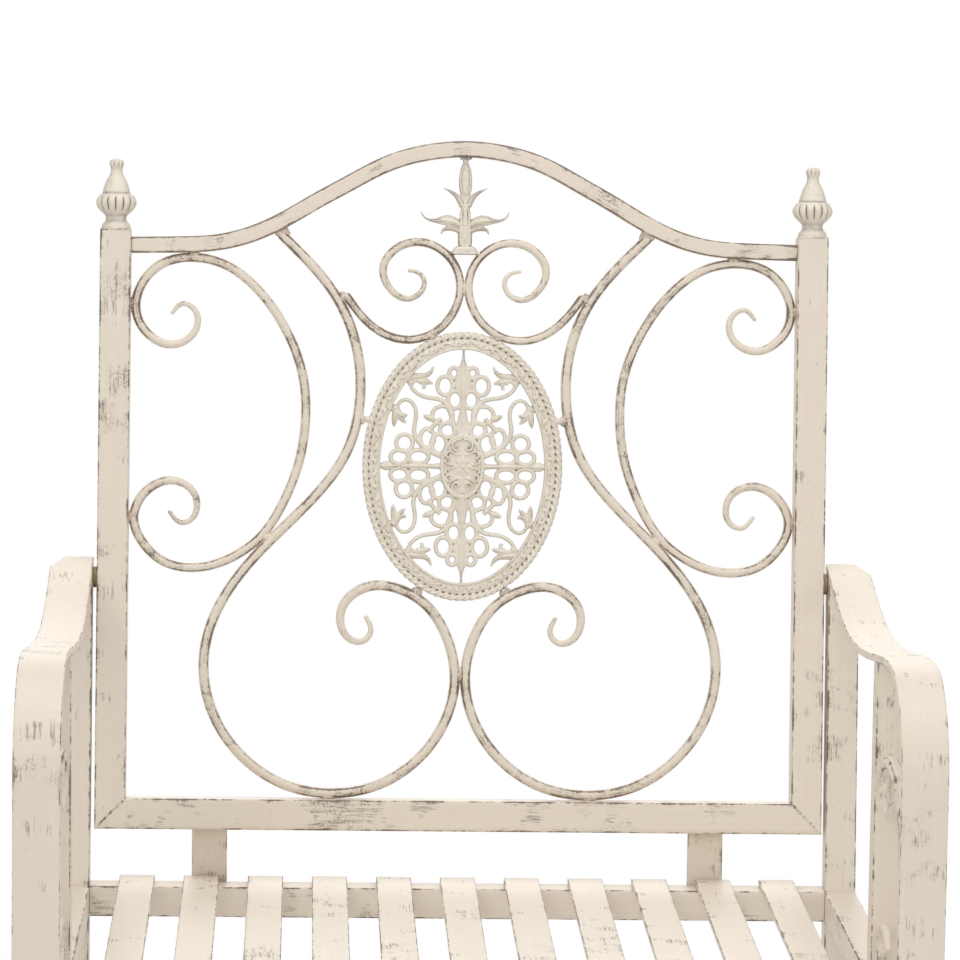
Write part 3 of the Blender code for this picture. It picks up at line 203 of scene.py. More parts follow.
# The back's two posts and its bottom rail are square steel tube, mitred and welded at the
# lower corners. The whole chair is dip-painted in cream and rubbed back by hand to brown.
BACK_PLANE_Y = 0.1918
BACK_FOOT_Z = 0.465
RECLINE = math.radians(6.0)
TUBE = 0.022
POST_LENGTH = 0.427
HALF_BACK = 0.260
CREAM = (0.755, 0.680, 0.565)
PALE_CREAM = (0.800, 0.745, 0.640)
PINK_CREAM = (0.765, 0.665, 0.560)
DUSKY_CREAM = (0.660, 0.555, 0.455)
BROWN = (0.125, 0.070, 0.050)
AIR_GAP = 0.0003


def on_panel(across, depth, up):
    """A point of the leaning back panel in the chair's frame; depth runs to the rear."""
    lean_sin, lean_cos = math.sin(RECLINE), math.cos(RECLINE)
    return (across, BACK_PLANE_Y + depth * lean_cos + up * lean_sin,
            BACK_FOOT_Z + up * lean_cos - depth * lean_sin)


def layer(share, under, over):
    """Colour over lays on colour under by this share."""
    colours = {6: under, 7: over}
    for key, value in colours.items():
        if not isinstance(value, Wire):
            colours[key] = (*value, 1.0)
    return share.node("ShaderNodeMix", {"data_type": "RGBA"}, {0: share, **colours}, 2)


def noise(place, scale, detail=3.0, roughness=0.6):
    """Cloudy noise between 0 and 1, its clouds about 1 / scale across."""
    return place.node("ShaderNodeTexNoise", (), {
        "Vector": place, "Scale": scale, "Detail": detail, "Roughness": roughness})


def thin_lines(pattern, width):
    """Hair lines where a noise crosses its middle value."""
    return 1.0 - smooth_step((pattern - 0.5).math("ABSOLUTE"), width * 0.35, width)


def paint(name, edge_rub, bare, grain_stretch=(16.0, 330.0), bump=0.25):
    """Smooth cream paint with brown rubbed through along the arrises and fine crackle in places.

    edge_rub is how much shows along the arrises, bare how much of the faces is crackled.
    """
    finish, start = start_material(name)
    place = start.node("ShaderNodeTexCoord", output="Object")
    grain = start.node("ShaderNodeAttribute", {"attribute_name": "grain"}, (), "Vector")
    wear = start.node("ShaderNodeAttribute", {"attribute_name": "wear"}, (), "Fac")
    along, across = grain_stretch
    brushed = start.node("ShaderNodeVectorMath", {"operation": "MULTIPLY"},
                         {0: grain, 1: (along, across, across)})
    clouds = noise(place, 13.0)
    patches = noise(place, 46.0, 4.0)
    spots = noise(place, 170.0, 4.0, 0.7)
    hairs = noise(brushed, 1.0, 4.0)
    crackle = noise(place, 330.0, 2.0, 0.55)
    tired = smooth_step(clouds * 0.6 + patches * 0.4 + wear * 0.07, 0.54 - bare, 0.70 - bare)
    crackled = thin_lines(crackle, 0.060) * tired * smooth_step(spots, 0.44, 0.56)
    scratched = thin_lines(hairs, 0.030) * smooth_step(patches + (clouds - 0.5) * 0.6,
                                                        0.56 - bare, 0.66 - bare)
    arris = smooth_step(wear + (spots - 0.5) * 0.9 + (patches - 0.5) * 1.1,
                        1.16 - edge_rub, 1.32 - edge_rub)
    tone = layer(smooth_step(clouds * 0.5 + hairs * 0.5, 0.40, 0.60), PINK_CREAM, CREAM)
    tone = layer(smooth_step(hairs * 0.4 + patches * 0.6, 0.46, 0.68) * 0.5, tone, PALE_CREAM)
    tone = layer(tired * 0.30, tone, DUSKY_CREAM)
    tone = layer((scratched * 0.55 + crackled * 0.75 + arris * 0.80).math("MINIMUM", 0.88),
                 tone, BROWN)
    relief = hairs * 0.3 + spots * 0.2 - arris * 0.6 - crackled * 0.5 - scratched * 0.4
    normal = start.node("ShaderNodeBump", (), {
        "Strength": bump, "Distance": 0.0005, "Height": relief})
    shader = start.node("ShaderNodeBsdfPrincipled", (), {
        "Base Color": tone, "Roughness": 0.50 + arris * 0.2 + crackled * 0.1,
        "Normal": normal})
    start.node("ShaderNodeOutputMaterial", (), {"Surface": shader})
    return finish


def skin(work, rows, closed):
    """Faces through rows of corners, with both ends capped unless the last row meets the first."""
    for here, there in zip(rows, rows[1:] + (rows[:1] if closed else [])):
        for side in range(len(here)):
            after = (side + 1) % len(here)
            work.faces.new((here[side], here[after], there[after], there[side]))
    if not closed:
        work.faces.new(rows[0])
        work.faces.new(rows[-1])


def put_on_chair(name, work, finish, node_names):
    """Makes the work a piece of the chair, which takes the place of its plain CAD nodes."""
    bmesh.ops.recalc_face_normals(work, faces=work.faces)
    mesh = bpy.data.meshes.new(name)
    work.to_mesh(mesh)
    work.free()
    mesh.shade_smooth()
    mesh.materials.append(finish)
    piece = bpy.data.objects.new(name, mesh)
    bpy.context.scene.collection.objects.link(piece)
    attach(piece, "root")
    if node_names:
        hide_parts(*node_names)
    return piece


def shaped(name, stations, wear, finish, node_names, closed=False, smooth_angle=40.0):
    """A skin through rings of points, each with its place along the bar and across it.

    stations holds (ring of points, ring of places across the bar, distance along the bar), and
    wear how much each point of a ring is rubbed, or one such list for each ring.
    """
    work = bmesh.new()
    grain_layer = work.verts.layers.float_vector.new("grain")
    wear_layer = work.verts.layers.float.new("wear")
    rows = []
    wears = wear if isinstance(wear[0], list) else [wear] * len(stations)
    for (ring, section, along), shares in zip(stations, wears):
        row = []
        for point, (side, deep), share in zip(ring, section, shares):
            vertex = work.verts.new(point)
            vertex[grain_layer] = (along, side, deep)
            vertex[wear_layer] = share
            row.append(vertex)
        rows.append(row)
    skin(work, rows, closed)
    piece = put_on_chair(name, work, finish, node_names)
    piece.data.set_sharp_from_angle(angle=math.radians(smooth_angle))


def rounded_section(width, depth, corner, inner=0.0026):
    """Places round a bar's rounded rectangular section, and how much each one gets rubbed."""
    places, wear = [], []
    half_w, half_d = width / 2 - corner, depth / 2 - corner
    for quarter, (sign_w, sign_d) in enumerate(((1, 1), (-1, 1), (-1, -1), (1, -1))):
        for step in range(5):
            angle = math.pi / 2 * (quarter + step / 4)
            places.append((sign_w * half_w + corner * math.cos(angle),
                           sign_d * half_d + corner * math.sin(angle)))
            wear.append(0.6 + 0.4 * math.sin(math.pi * step / 4))
        along_width = quarter % 2 == 0
        half, lane = (half_w, sign_d * depth / 2) if along_width else (half_d, sign_w * width / 2)
        start_side = sign_w if along_width else sign_d
        near = half - min(inner, half * 0.8)
        for share in (near, 0.0, -near):
            spot = start_side * share
            places.append((spot, lane) if along_width else (lane, spot))
            wear.append(0.0)
    return places, wear


tube_paint = paint("tube_paint", 0.30, 0.01)
TUBE_SECTION, TUBE_WEAR = rounded_section(TUBE, TUBE, 0.0016)
SIDES = (("left", -1), ("right", 1))

for side, sign in SIDES:
    middle = sign * (HALF_BACK - TUBE / 2)
    stations = []
    for along, mitred in ((AIR_GAP, True), (POST_LENGTH, False)):
        ring = []
        for across, depth in TUBE_SECTION:
            rise = along + (HALF_BACK - abs(middle + across) if mitred else 0.0)
            ring.append(on_panel(middle + across, depth, rise))
        stations.append((ring, TUBE_SECTION, along + sign))
    shaped(f"painted_post_{side}", stations, TUBE_WEAR, tube_paint,
           (f"back_post_{side}",))

stations = []
for sign in (-1, 1):
    ring = []
    for across, depth in TUBE_SECTION:
        up = across + TUBE / 2
        ring.append(on_panel(sign * (HALF_BACK - AIR_GAP - up), depth, up))
    stations.append((ring, TUBE_SECTION, sign * HALF_BACK))
shaped("painted_bottom_rail", stations, TUBE_WEAR, tube_paint,
       ("back_bottom_rail",))


# The arched top rail is a lighter square bar, bent to one long wave and butted between the
# posts. The curve is the same one, through the same points, as the CAD rail has.
MM = 0.001
SHOULDER = 0.4222
TOP_BAR = 0.0115
TOP_RUB = 0.45
TOP_RUB_LENGTH = 0.014
ARCH_POINTS = [
    (0, 71.2), (21, 69.6), (43, 65.0), (64, 57.0), (85, 45.6), (107, 33.4), (128, 20.9),
    (149, 10.4), (165, 5.0), (181, 2.0), (200, 0.8), (237.7, 0),
]


def spline(points, samples=900):
    """Points close together along the smooth curve through a few given points."""
    knots = np.array(points, dtype=float)
    steps = np.linalg.norm(np.diff(knots, axis=0), axis=1)
    along = np.concatenate([[0.0], np.cumsum(steps)])
    system = np.eye(len(knots))
    target = np.zeros_like(knots)
    for i in range(1, len(knots) - 1):
        system[i, i - 1] = steps[i - 1]
        system[i, i] = 2 * (steps[i - 1] + steps[i])
        system[i, i + 1] = steps[i]
        slope_after = (knots[i + 1] - knots[i]) / steps[i]
        target[i] = 6 * (slope_after - (knots[i] - knots[i - 1]) / steps[i - 1])
    bend = np.linalg.solve(system, target)
    places = np.linspace(0.0, along[-1], samples)
    spans = np.clip(np.searchsorted(along, places, side="right") - 1, 0, len(steps) - 1)
    length = steps[spans][:, None]
    before = (places - along[spans])[:, None]
    after = length - before
    start, end = knots[spans], knots[spans + 1]
    return (bend[spans] * after**3 / (6 * length) + bend[spans + 1] * before**3 / (6 * length)
            + (start / length - bend[spans] * length / 6) * after
            + (end / length - bend[spans + 1] * length / 6) * before)


def thin_out(path, turn=math.radians(5.0), longest=0.012):
    """The path again with fewer points: close in the curls, further apart where it is straight."""
    steps = np.diff(path, axis=0)
    lengths = np.linalg.norm(steps, axis=1)
    headings = np.unwrap(np.arctan2(steps[:, 1], steps[:, 0]))
    turning = np.abs(np.diff(headings, prepend=headings[0]))
    effort = np.concatenate([[0.0], np.cumsum(turning / turn + lengths / longest)])
    wanted = np.linspace(0.0, effort[-1], max(3, int(round(effort[-1])) + 1))
    return np.stack([np.interp(wanted, effort, path[:, axis]) for axis in range(2)], axis=1)


def left_normals(path):
    """Unit vectors square to a flat path, on its left."""
    ahead = np.gradient(path, axis=0)
    ahead /= np.linalg.norm(ahead, axis=1)[:, None]
    return np.stack([-ahead[:, 1], ahead[:, 0]], axis=1)


def distances_along(path):
    steps = np.linalg.norm(np.diff(path, axis=0), axis=1)
    return np.concatenate([[0.0], np.cumsum(steps)])


def ring_across(middle, normal, section, place):
    """One ring of a bar: its section, set square to a flat path and put in place."""
    ring = []
    for up, deep in section:
        spot = middle + normal * up
        ring.append(place(spot[0], deep, spot[1]))
    return ring


arch_half = [(across * MM, SHOULDER + up * MM) for across, up in ARCH_POINTS]
arch = thin_out(spline([(-across, up) for across, up in reversed(arch_half[1:])] + arch_half))
TOP_SECTION, TOP_WEAR = rounded_section(TOP_BAR, TOP_BAR, 0.0013, 0.0018)
stations, top_wears = [], []
for point, normal, along in zip(arch, left_normals(arch), distances_along(arch)):
    ring = ring_across(point - normal * TOP_BAR / 2, normal, TOP_SECTION, on_panel)
    stations.append((ring, TOP_SECTION, along + 2.0))
    near_post = max(0.0, 1.0 - (abs(arch[0][0]) - abs(point[0])) / TOP_RUB_LENGTH)
    top_wears.append([share + TOP_RUB * near_post for share in TOP_WEAR])
top_paint = paint("top_rail_paint", 0.52, 0.05)
shaped("painted_top_rail", stations, top_wears, top_paint, ("back_top_rail",))


# The scrolls are round rod, drawn out thin at the free ends, curled cold round a jig and welded
# where they touch. The paint is rubbed through in a line along the front of each rod.
S_POINTS = [
    (130, 424), (113, 407.5), (90, 379), (74.5, 336), (73.5, 308), (82, 272), (107.1, 236.6),
    (149.6, 193.1), (170.5, 164), (181.5, 135), (182.5, 107), (173.5, 78), (151.5, 50), (123.5, 33),
    (91, 27.5), (59.5, 33), (27.5, 54), (10, 80), (3.5, 108), (9.5, 139.5), (25.5, 163),
    (47.5, 174.5), (60, 176), (75, 171), (84.5, 160), (85.5, 148), (79.5, 138), (70, 136),
    (64, 143), (67.5, 153),
]
OUTER_POINTS = [
    (208, 368.5), (200.5, 375), (192, 370.5), (191, 357), (202, 347), (211.5, 346), (223, 351.5),
    (231.5, 362), (234, 372.5), (231, 386.5), (216, 403), (194, 408), (169.5, 402.5), (147, 385.5),
    (127.5, 358.5), (114.5, 325), (112, 300), (117, 261.5), (127.5, 234), (142.3, 210.8),
    (162.3, 195.3), (191, 187), (212, 191), (227, 204), (234, 222), (225.5, 241), (207.5, 249),
    (193, 242.5), (189, 230), (193.5, 221), (200, 219), (208.5, 226.5),
]
HEART_POINTS = [
    (84, 383), (67.5, 363.5), (45, 353), (24.5, 356.5), (8.5, 371.5), (3.1, 390.5), (9.5, 410),
    (31.5, 422.5), (49.5, 417.5), (58.5, 403), (51.5, 387), (42, 382), (32, 386), (29, 395),
    (33, 400.5), (39.5, 402),
]
ROD_SIDES = 18
CONTACT_RUB = 0.20
CONTACT_RADIUS = 0.016


def circle(count):
    """Cosines and sines at even steps round a circle."""
    angles = [2 * math.pi * step / count for step in range(count)]
    return [(math.cos(angle), math.sin(angle)) for angle in angles]


def rod(name, path, radii, place, finish, node_name, seed, contacts=()):
    """A round bar along a flat path, rounded off at both ends and rubbed most at its contacts."""
    normals = left_normals(path)
    ahead = np.stack([normals[:, 1], -normals[:, 0]], axis=1)
    along = distances_along(path)
    section_wear = [0.95 * abs(math.sin(4 * math.pi * side / ROD_SIDES)) ** 3
                    for side in range(ROD_SIDES)]
    rounds = []
    for end, outward in ((0, -1), (-1, 1)):
        cap = []
        for share in (0.97, 0.80, 0.45, 0.12):
            reach = radii[end] * share * outward
            cap.append((path[end] + ahead[end] * reach, normals[end],
                        radii[end] * math.sqrt(1 - share**2), along[end] + reach))
        rounds.append(cap)
    body = list(zip(path, normals, radii, along))
    stations, wears = [], []
    for point, normal, radius, distance in rounds[0] + body + rounds[1][::-1]:
        section = [(radius * up, radius * deep) for up, deep in circle(ROD_SIDES)]
        stations.append((ring_across(point, normal, section, place), section, distance + seed))
        thick = min(1.0, radius / max(radii)) ** 1.5
        near = sum(math.exp(-(math.dist(point, (across * MM, up * MM)) / CONTACT_RADIUS) ** 2)
                   for across, up in contacts)
        wears.append([share * thick + CONTACT_RUB * min(near, 1.0) for share in section_wear])
    shaped(name, stations, wears, finish, (node_name,), smooth_angle=60.0)


def drawn_radii(path, size, thin_start, thin_end, tip=0.40, reach=0.075):
    """Half thicknesses of a rod whose free ends are drawn out over the last stretch."""
    along = distances_along(path)
    room = np.full(len(path), reach)
    if thin_start:
        room = np.minimum(room, along)
    if thin_end:
        room = np.minimum(room, along[-1] - along)
    return size / 2 * (tip + (1 - tip) * (room / reach) ** 0.8)


rod_paint = paint("rod_paint", 0.42, 0.07, (22.0, 420.0), 0.3)
# Each rod has its name, curve and thickness, how far the curve is shifted across, stretched and
# shifted upwards, whether its two ends are drawn out, and where it is rubbed against its neighbours.
rods = (
    ("s_scroll", S_POINTS, 0.0075, (0.270, 1.00507, -1.593), (False, True),
     ((130, 424), (91, 26), (4, 107), (89, 381), (152, 193), (38, 171))),
    ("outer_scroll", OUTER_POINTS, 0.0068, (0.291, 1.00202, -0.744), (True, True),
     ((234, 372), (234, 222), (194, 408), (154, 200))),
    ("heart_scroll", HEART_POINTS, 0.0062, (-0.181, 1.0005, -1.737), (False, True),
     ((84, 381), (3, 389), (45, 351), (11, 412))),
)
curves = {}
for number, (name, points, size, (shift, rise, drop), thin_ends, contacts) in enumerate(rods):
    fitted = [((across + shift) * MM, (up * rise + drop) * MM) for across, up in points]
    path = thin_out(spline(fitted))
    curves[name] = path
    radii = drawn_radii(path, size, *thin_ends)
    for side, sign in SIDES:
        rod(f"painted_{name}_{side}", path, radii,
            lambda across, depth, up, sign=sign: on_panel(sign * across, depth, up),
            rod_paint, f"{name}_{side}", 3.0 + number + 0.4 * sign, contacts)


# The arms are flat bar, 30 x 5 mm, bent in a wave and then down in front to be the front legs.
# Each rear end has its outer corner cut off and is welded to the rear leg below it.
ARM_HEIGHT = 0.656
ARM_REACH = 0.476
ARM_REAR_Y = BACK_PLANE_Y + (ARM_HEIGHT - BACK_FOOT_Z) * math.tan(RECLINE)
FRONT_LEG_Y = ARM_REAR_Y - ARM_REACH
ARM_WIDTH = 0.030
ARM_THICKNESS = 0.005
ARM_CORNER = 0.009
ARM_CUT = 0.024
SPACER_ROOM = 0.003
LEG_INSIDE = HALF_BACK + SPACER_ROOM
FLOOR_GAP = 0.0043
ARM_POINTS = [
    (-12, 0), (11, -3.9), (40, -9.9), (69, -15.8), (118, -24.0), (172, -26.4), (240, -22.5),
    (302, -15.6), (365, -8.5), (400, -7.2), (426, -11.0), (447.5, -21.8), (464, -37.5),
    (473.5, -56.5), (476, -82),
]
flat_paint = paint("flat_bar_paint", 0.24, 0.01, (12.0, 260.0))
arm_wave = thin_out(spline([(ahead * MM, ARM_HEIGHT + up * MM) for ahead, up in ARM_POINTS]))
arm_wave[:, 0] -= ARM_REAR_Y
arm_drop = [(-FRONT_LEG_Y, height) for height in (0.45, 0.30, 0.15, FLOOR_GAP)]
arm_line = np.vstack([arm_wave, arm_drop])
ARM_SECTION, ARM_WEAR = rounded_section(ARM_THICKNESS, ARM_WIDTH, 0.0009, 0.0025)


def side_place(sign, middle):
    """Places a side frame's drawing, forward distance and height, at a distance from the middle."""
    return lambda ahead, across, up: (sign * (middle + across), -ahead, up)


def bar(name, path, section, wear, place, finish, node_name, seed, end_trim=None):
    """A bar of one section along a flat path.

    seed shifts the paint's grain, and end_trim moves the points of the end rings.
    """
    stations = []
    normals = left_normals(path)
    for index, (point, normal, along) in enumerate(zip(path, normals, distances_along(path))):
        ring = []
        for up, across in section:
            spot = point + normal * up
            if end_trim and index in (0, len(path) - 1):
                spot = end_trim(spot, index == 0)
            ring.append(place(spot[0], across, spot[1]))
        stations.append((ring, section, along + seed))
    shaped(name, stations, wear, finish, (node_name,))


line_along = distances_along(arm_line)
arm_along = np.append(ARM_CUT * np.array([0.0, 0.5, 1.0]), line_along[line_along > ARM_CUT * 1.05])
arm_line = np.stack([np.interp(arm_along, line_along, arm_line[:, axis]) for axis in (0, 1)], 1)
for side, sign in SIDES:
    place = side_place(sign, LEG_INSIDE + ARM_WIDTH / 2)
    stations = []
    for point, normal, along in zip(arm_line, left_normals(arm_line), arm_along):
        kept = 1.0 - ARM_CORNER / ARM_WIDTH * max(0.0, 1.0 - along / ARM_CUT)
        section = [(up, (across + ARM_WIDTH / 2) * kept - ARM_WIDTH / 2)
                   for up, across in ARM_SECTION]
        ring = ring_across(point - normal * ARM_THICKNESS / 2, normal, section, place)
        stations.append((ring, ARM_SECTION, along + 5.0 + sign))
    shaped(f"painted_arm_{side}", stations, ARM_WEAR, flat_paint,
           (f"arm_and_front_leg_{side}",))


# Under each arm stand square tubes: the rear leg, which splays backwards below the seat, the
# arm's support, the rail that ties the legs at seat level and a thinner stretcher low down.
SEAT_TOP = 0.430
STRIP_THICKNESS = 0.004
SEAT_BOLT_Z = SEAT_TOP - STRIP_THICKNESS - AIR_GAP - TUBE / 2
LEG_BEND_Z = 0.330
LEG_BEND_RADIUS = 0.150
REAR_FOOT_Y = BACK_PLANE_Y + 0.062
SUPPORT_FRONT = 0.329 - ARM_REAR_Y
STRETCHER_Z = 0.150
STRETCHER_BAR = 0.012
under_arm = arm_wave - left_normals(arm_wave) * (ARM_THICKNESS + AIR_GAP)
# The bars' paths start and end near these, and are then trimmed to the pieces that they meet.
LEG_PATH_TOP = 0.640
SUPPORT_PATH_TOP = 0.600
RAIL_PATH_REAR = -0.16
STRETCHER_PATH_REAR = -0.20


def rounded(corners, radius, step=math.radians(4.0)):
    """A path with its inner corners turned into arcs."""
    corners = [np.array(corner, dtype=float) for corner in corners]
    path = [corners[0]]
    for before, corner, after in zip(corners, corners[1:], corners[2:]):
        come = (before - corner) / np.linalg.norm(before - corner)
        leave = (after - corner) / np.linalg.norm(after - corner)
        half = math.acos(float(np.clip(come @ leave, -1, 1))) / 2
        middle = corner + (come + leave) / np.linalg.norm(come + leave) * radius / math.sin(half)
        first = corner + come * radius / math.tan(half) - middle
        last = corner + leave * radius / math.tan(half) - middle
        turn = math.pi - 2 * half
        count = max(2, int(round(turn / step)) + 1)
        for share in np.linspace(0.0, 1.0, count):
            weights = math.sin((1 - share) * turn), math.sin(share * turn)
            path.append(middle + (first * weights[0] + last * weights[1]) / math.sin(turn))
    return np.array(path + [corners[-1]])


def panel_y(height):
    """How far back the leaning panel is at a height."""
    return BACK_PLANE_Y + (height - BACK_FOOT_Z) * math.tan(RECLINE)


leg_path = rounded([(-REAR_FOOT_Y, FLOOR_GAP), (-panel_y(LEG_BEND_Z), LEG_BEND_Z),
                    (-panel_y(LEG_PATH_TOP), LEG_PATH_TOP)], LEG_BEND_RADIUS)
foot_way = (leg_path[1] - leg_path[0]) / (leg_path[1] - leg_path[0])[1]
head_way = (leg_path[-1] - leg_path[-2]) / (leg_path[-1] - leg_path[-2])[1]
stretcher_rear = -REAR_FOOT_Y + foot_way[0] * (STRETCHER_Z - FLOOR_GAP) + TUBE / 2 * 1.027


def trim_leg(spot, at_foot):
    """Cuts the rear leg level at its foot and to the arm's underside at its head."""
    if at_foot:
        return spot + foot_way * (FLOOR_GAP - spot[1])
    for _ in range(6):
        spot = spot + head_way * (np.interp(spot[0], under_arm[:, 0], under_arm[:, 1]) - spot[1])
    return spot


def trim_support(spot, at_foot):
    """Cuts the arm's support to the arm's underside at its head."""
    height = np.interp(spot[0], under_arm[:, 0], under_arm[:, 1])
    return np.array([spot[0], spot[1] if at_foot else height])


def trim_rail(spot, at_rear):
    """Cuts the side rail to the rear leg and to the front leg."""
    face = -panel_y(spot[1]) + TUBE / 2 / math.cos(RECLINE) + AIR_GAP
    return np.array([face if at_rear else rail_front, spot[1]])


def trim_stretcher(spot, at_rear):
    """Cuts the stretcher to the splayed rear leg and to the front leg."""
    rear = stretcher_rear + foot_way[0] * (spot[1] - STRETCHER_Z) + AIR_GAP
    return np.array([rear if at_rear else rail_front, spot[1]])


STRETCHER_SECTION, STRETCHER_WEAR = rounded_section(STRETCHER_BAR, STRETCHER_BAR, 0.0012, 0.002)
rail_front = -FRONT_LEG_Y - ARM_THICKNESS - AIR_GAP
rail_path = np.array([(RAIL_PATH_REAR, SEAT_BOLT_Z), (rail_front, SEAT_BOLT_Z)])
support_middle = SUPPORT_FRONT - TUBE / 2
support_path = np.array([(support_middle, SEAT_BOLT_Z + TUBE / 2 + AIR_GAP),
                         (support_middle, SUPPORT_PATH_TOP)])
stretcher_path = np.array([(STRETCHER_PATH_REAR, STRETCHER_Z), (rail_front, STRETCHER_Z)])
for side, sign in SIDES:
    place = side_place(sign, LEG_INSIDE + TUBE / 2)
    bar(f"painted_rear_leg_{side}", leg_path, TUBE_SECTION, TUBE_WEAR, place, tube_paint,
        f"rear_leg_{side}", 7.0 + sign, trim_leg)
    bar(f"painted_side_rail_{side}", rail_path, TUBE_SECTION, TUBE_WEAR, place, tube_paint,
        f"side_rail_{side}", 9.0 + sign, trim_rail)
    bar(f"painted_arm_support_{side}", support_path, TUBE_SECTION, TUBE_WEAR, place, tube_paint,
        f"arm_support_{side}", 11.0 + sign, trim_support)
    bar(f"painted_stretcher_{side}", stretcher_path, STRETCHER_SECTION, STRETCHER_WEAR, place,
        tube_paint, f"side_stretcher_{side}", 13.0 + sign, trim_stretcher)


# In the bay before each support stands one more scroll of round bar, curled at both ends.
SIDE_SCROLL_POINTS = [
    (62, 32), (54, 40), (42, 36), (40, 22), (52, 10), (70, 6), (92, 14), (106, 36), (110, 70),
    (106, 108), (92, 134), (70, 144), (50, 141), (38, 128), (42, 114), (55, 112), (61, 121),
]
SIDE_ROD = 0.009
SIDE_SCROLL_TOP = 0.071
SIDE_SCROLL_INSET = 0.0055
side_curve = spline([(across * MM, up * MM) for across, up in SIDE_SCROLL_POINTS])
side_curve = side_curve - side_curve.min(axis=0)
side_low = SEAT_BOLT_Z + TUBE / 2 + SIDE_ROD / 2 + AIR_GAP
side_high = ARM_HEIGHT - SIDE_SCROLL_TOP - SIDE_ROD / 2
side_near = SUPPORT_FRONT + SIDE_ROD / 2 + AIR_GAP
side_far = rail_front - SIDE_ROD / 2
side_size = np.array([side_far - side_near, side_high - side_low])
side_path = thin_out(side_curve * side_size / side_curve.max(axis=0)) + (side_near, side_low)
side_radii = drawn_radii(side_path, SIDE_ROD, True, True)
for side, sign in SIDES:
    rod(f"painted_side_scroll_{side}", side_path, side_radii,
        side_place(sign, LEG_INSIDE + SIDE_SCROLL_INSET), rod_paint, f"side_scroll_{side}",
        15.0 + sign)


# The seat is eleven flat strips laid from a rear rail over a front rail, each with its nose bent
# down. Two lugs under the back panel are bolted to the rear rail.
STRIP_WIDTH = 0.025
STRIP_COUNT = 11
SEAT_FRONT_Y = FRONT_LEG_Y + 0.010
NOSE = 0.018
NOSE_DROP = 0.024
RAIL_EDGE_SHOWN = 0.002
REAR_RAIL_Y = panel_y(SEAT_BOLT_Z)
FRONT_RAIL_Y = SEAT_FRONT_Y + NOSE + TUBE / 2
STRIP_SECTION, STRIP_WEAR = rounded_section(STRIP_THICKNESS, STRIP_WIDTH, 0.0008, 0.0022)
strip_paint = paint("strip_paint", 0.34, 0.0, (12.0, 260.0))
strip_rear = REAR_RAIL_Y + TUBE / 2 - RAIL_EDGE_SHOWN
strip_corners = [(-strip_rear, SEAT_TOP), (-SEAT_FRONT_Y, SEAT_TOP),
                 (-SEAT_FRONT_Y, SEAT_TOP - NOSE_DROP)]
strip_path = rounded(strip_corners, NOSE, math.radians(6.0))
strip_path = np.vstack([strip_path[:1], np.linspace(strip_path[0], strip_path[1], 9)[1:-1],
                        strip_path[1:]])
strip_path = strip_path - left_normals(strip_path) * STRIP_THICKNESS / 2
seat_room = 2 * (LEG_INSIDE - AIR_GAP)
strip_space = (seat_room - STRIP_COUNT * STRIP_WIDTH) / (STRIP_COUNT + 1)
for number in range(STRIP_COUNT):
    middle = -seat_room / 2 + strip_space + STRIP_WIDTH / 2
    middle += number * (STRIP_WIDTH + strip_space)
    bar(f"painted_strip_{number + 1}", strip_path, STRIP_SECTION, STRIP_WEAR,
        side_place(1, middle), strip_paint, f"seat_strip_{number + 1}",
        20.0 + number * 1.7)

for name, middle_y, seed in (("rear", REAR_RAIL_Y, 41.0), ("front", FRONT_RAIL_Y, 43.0)):
    stations = []
    for across in (-seat_room / 2, seat_room / 2):
        ring = [(across, middle_y + deep, SEAT_BOLT_Z + up) for up, deep in TUBE_SECTION]
        stations.append((ring, TUBE_SECTION, across + seed))
    shaped(f"painted_seat_{name}_rail", stations, TUBE_WEAR, tube_paint,
           (f"seat_{name}_rail",))

LUG_ACROSS = 0.178
LUG_THICKNESS = 0.005
LUG_SECTION, LUG_WEAR = rounded_section(0.025, LUG_THICKNESS, 0.0008, 0.002)
lug_y = REAR_RAIL_Y + TUBE / 2 + AIR_GAP + LUG_THICKNESS / 2
for side, sign in SIDES:
    stations = []
    for top, along in ((False, 0.0), (True, 0.05)):
        ring = []
        for across, deep in LUG_SECTION:
            behind = lug_y + deep - BACK_PLANE_Y
            high = BACK_FOOT_Z - behind * math.tan(RECLINE) - 2 * AIR_GAP
            ring.append((sign * LUG_ACROSS + across, lug_y + deep,
                         high if top else SEAT_BOLT_Z - TUBE / 2))
        stations.append((ring, LUG_SECTION, 45.0 + sign + along))
    shaped(f"painted_lug_{side}", stations, LUG_WEAR, tube_paint, (f"back_lug_{side}",))


# Domed, zinc-plated bolts hold the back to the rear legs, and the seat's rails to the side frames
# and the lugs. A short ring of dull brownish metal keeps each rear leg off its back post.
BOLT_SIDES = 32
BOLT_HEAD = 0.005
BOLT_RISE = 0.0035
BOLT_SHANK = 0.003
ARM_BOLT_LENGTH = TUBE + 0.011
SEAT_BOLT_LENGTH = TUBE + 0.013
LUG_BOLT_LENGTH = 0.0145
ARM_BOLT_Z = ARM_HEIGHT - 0.0128
ZINC = (0.46, 0.42, 0.36)
DULL_BROWN_METAL = (0.30, 0.26, 0.15)


def small_finish(name, colour, metallic, smoothest, clouding, cloud_scale, detail):
    """A plain finish whose roughness rises in clouds from its smoothest value."""
    finish, start = start_material(name)
    clouds = noise(start.node("ShaderNodeTexCoord", output="Object"), cloud_scale, detail)
    shader = start.node("ShaderNodeBsdfPrincipled", (), {
        "Base Color": (*colour, 1.0), "Metallic": metallic,
        "Roughness": smoothest + clouds * clouding})
    start.node("ShaderNodeOutputMaterial", (), {"Surface": shader})
    return finish


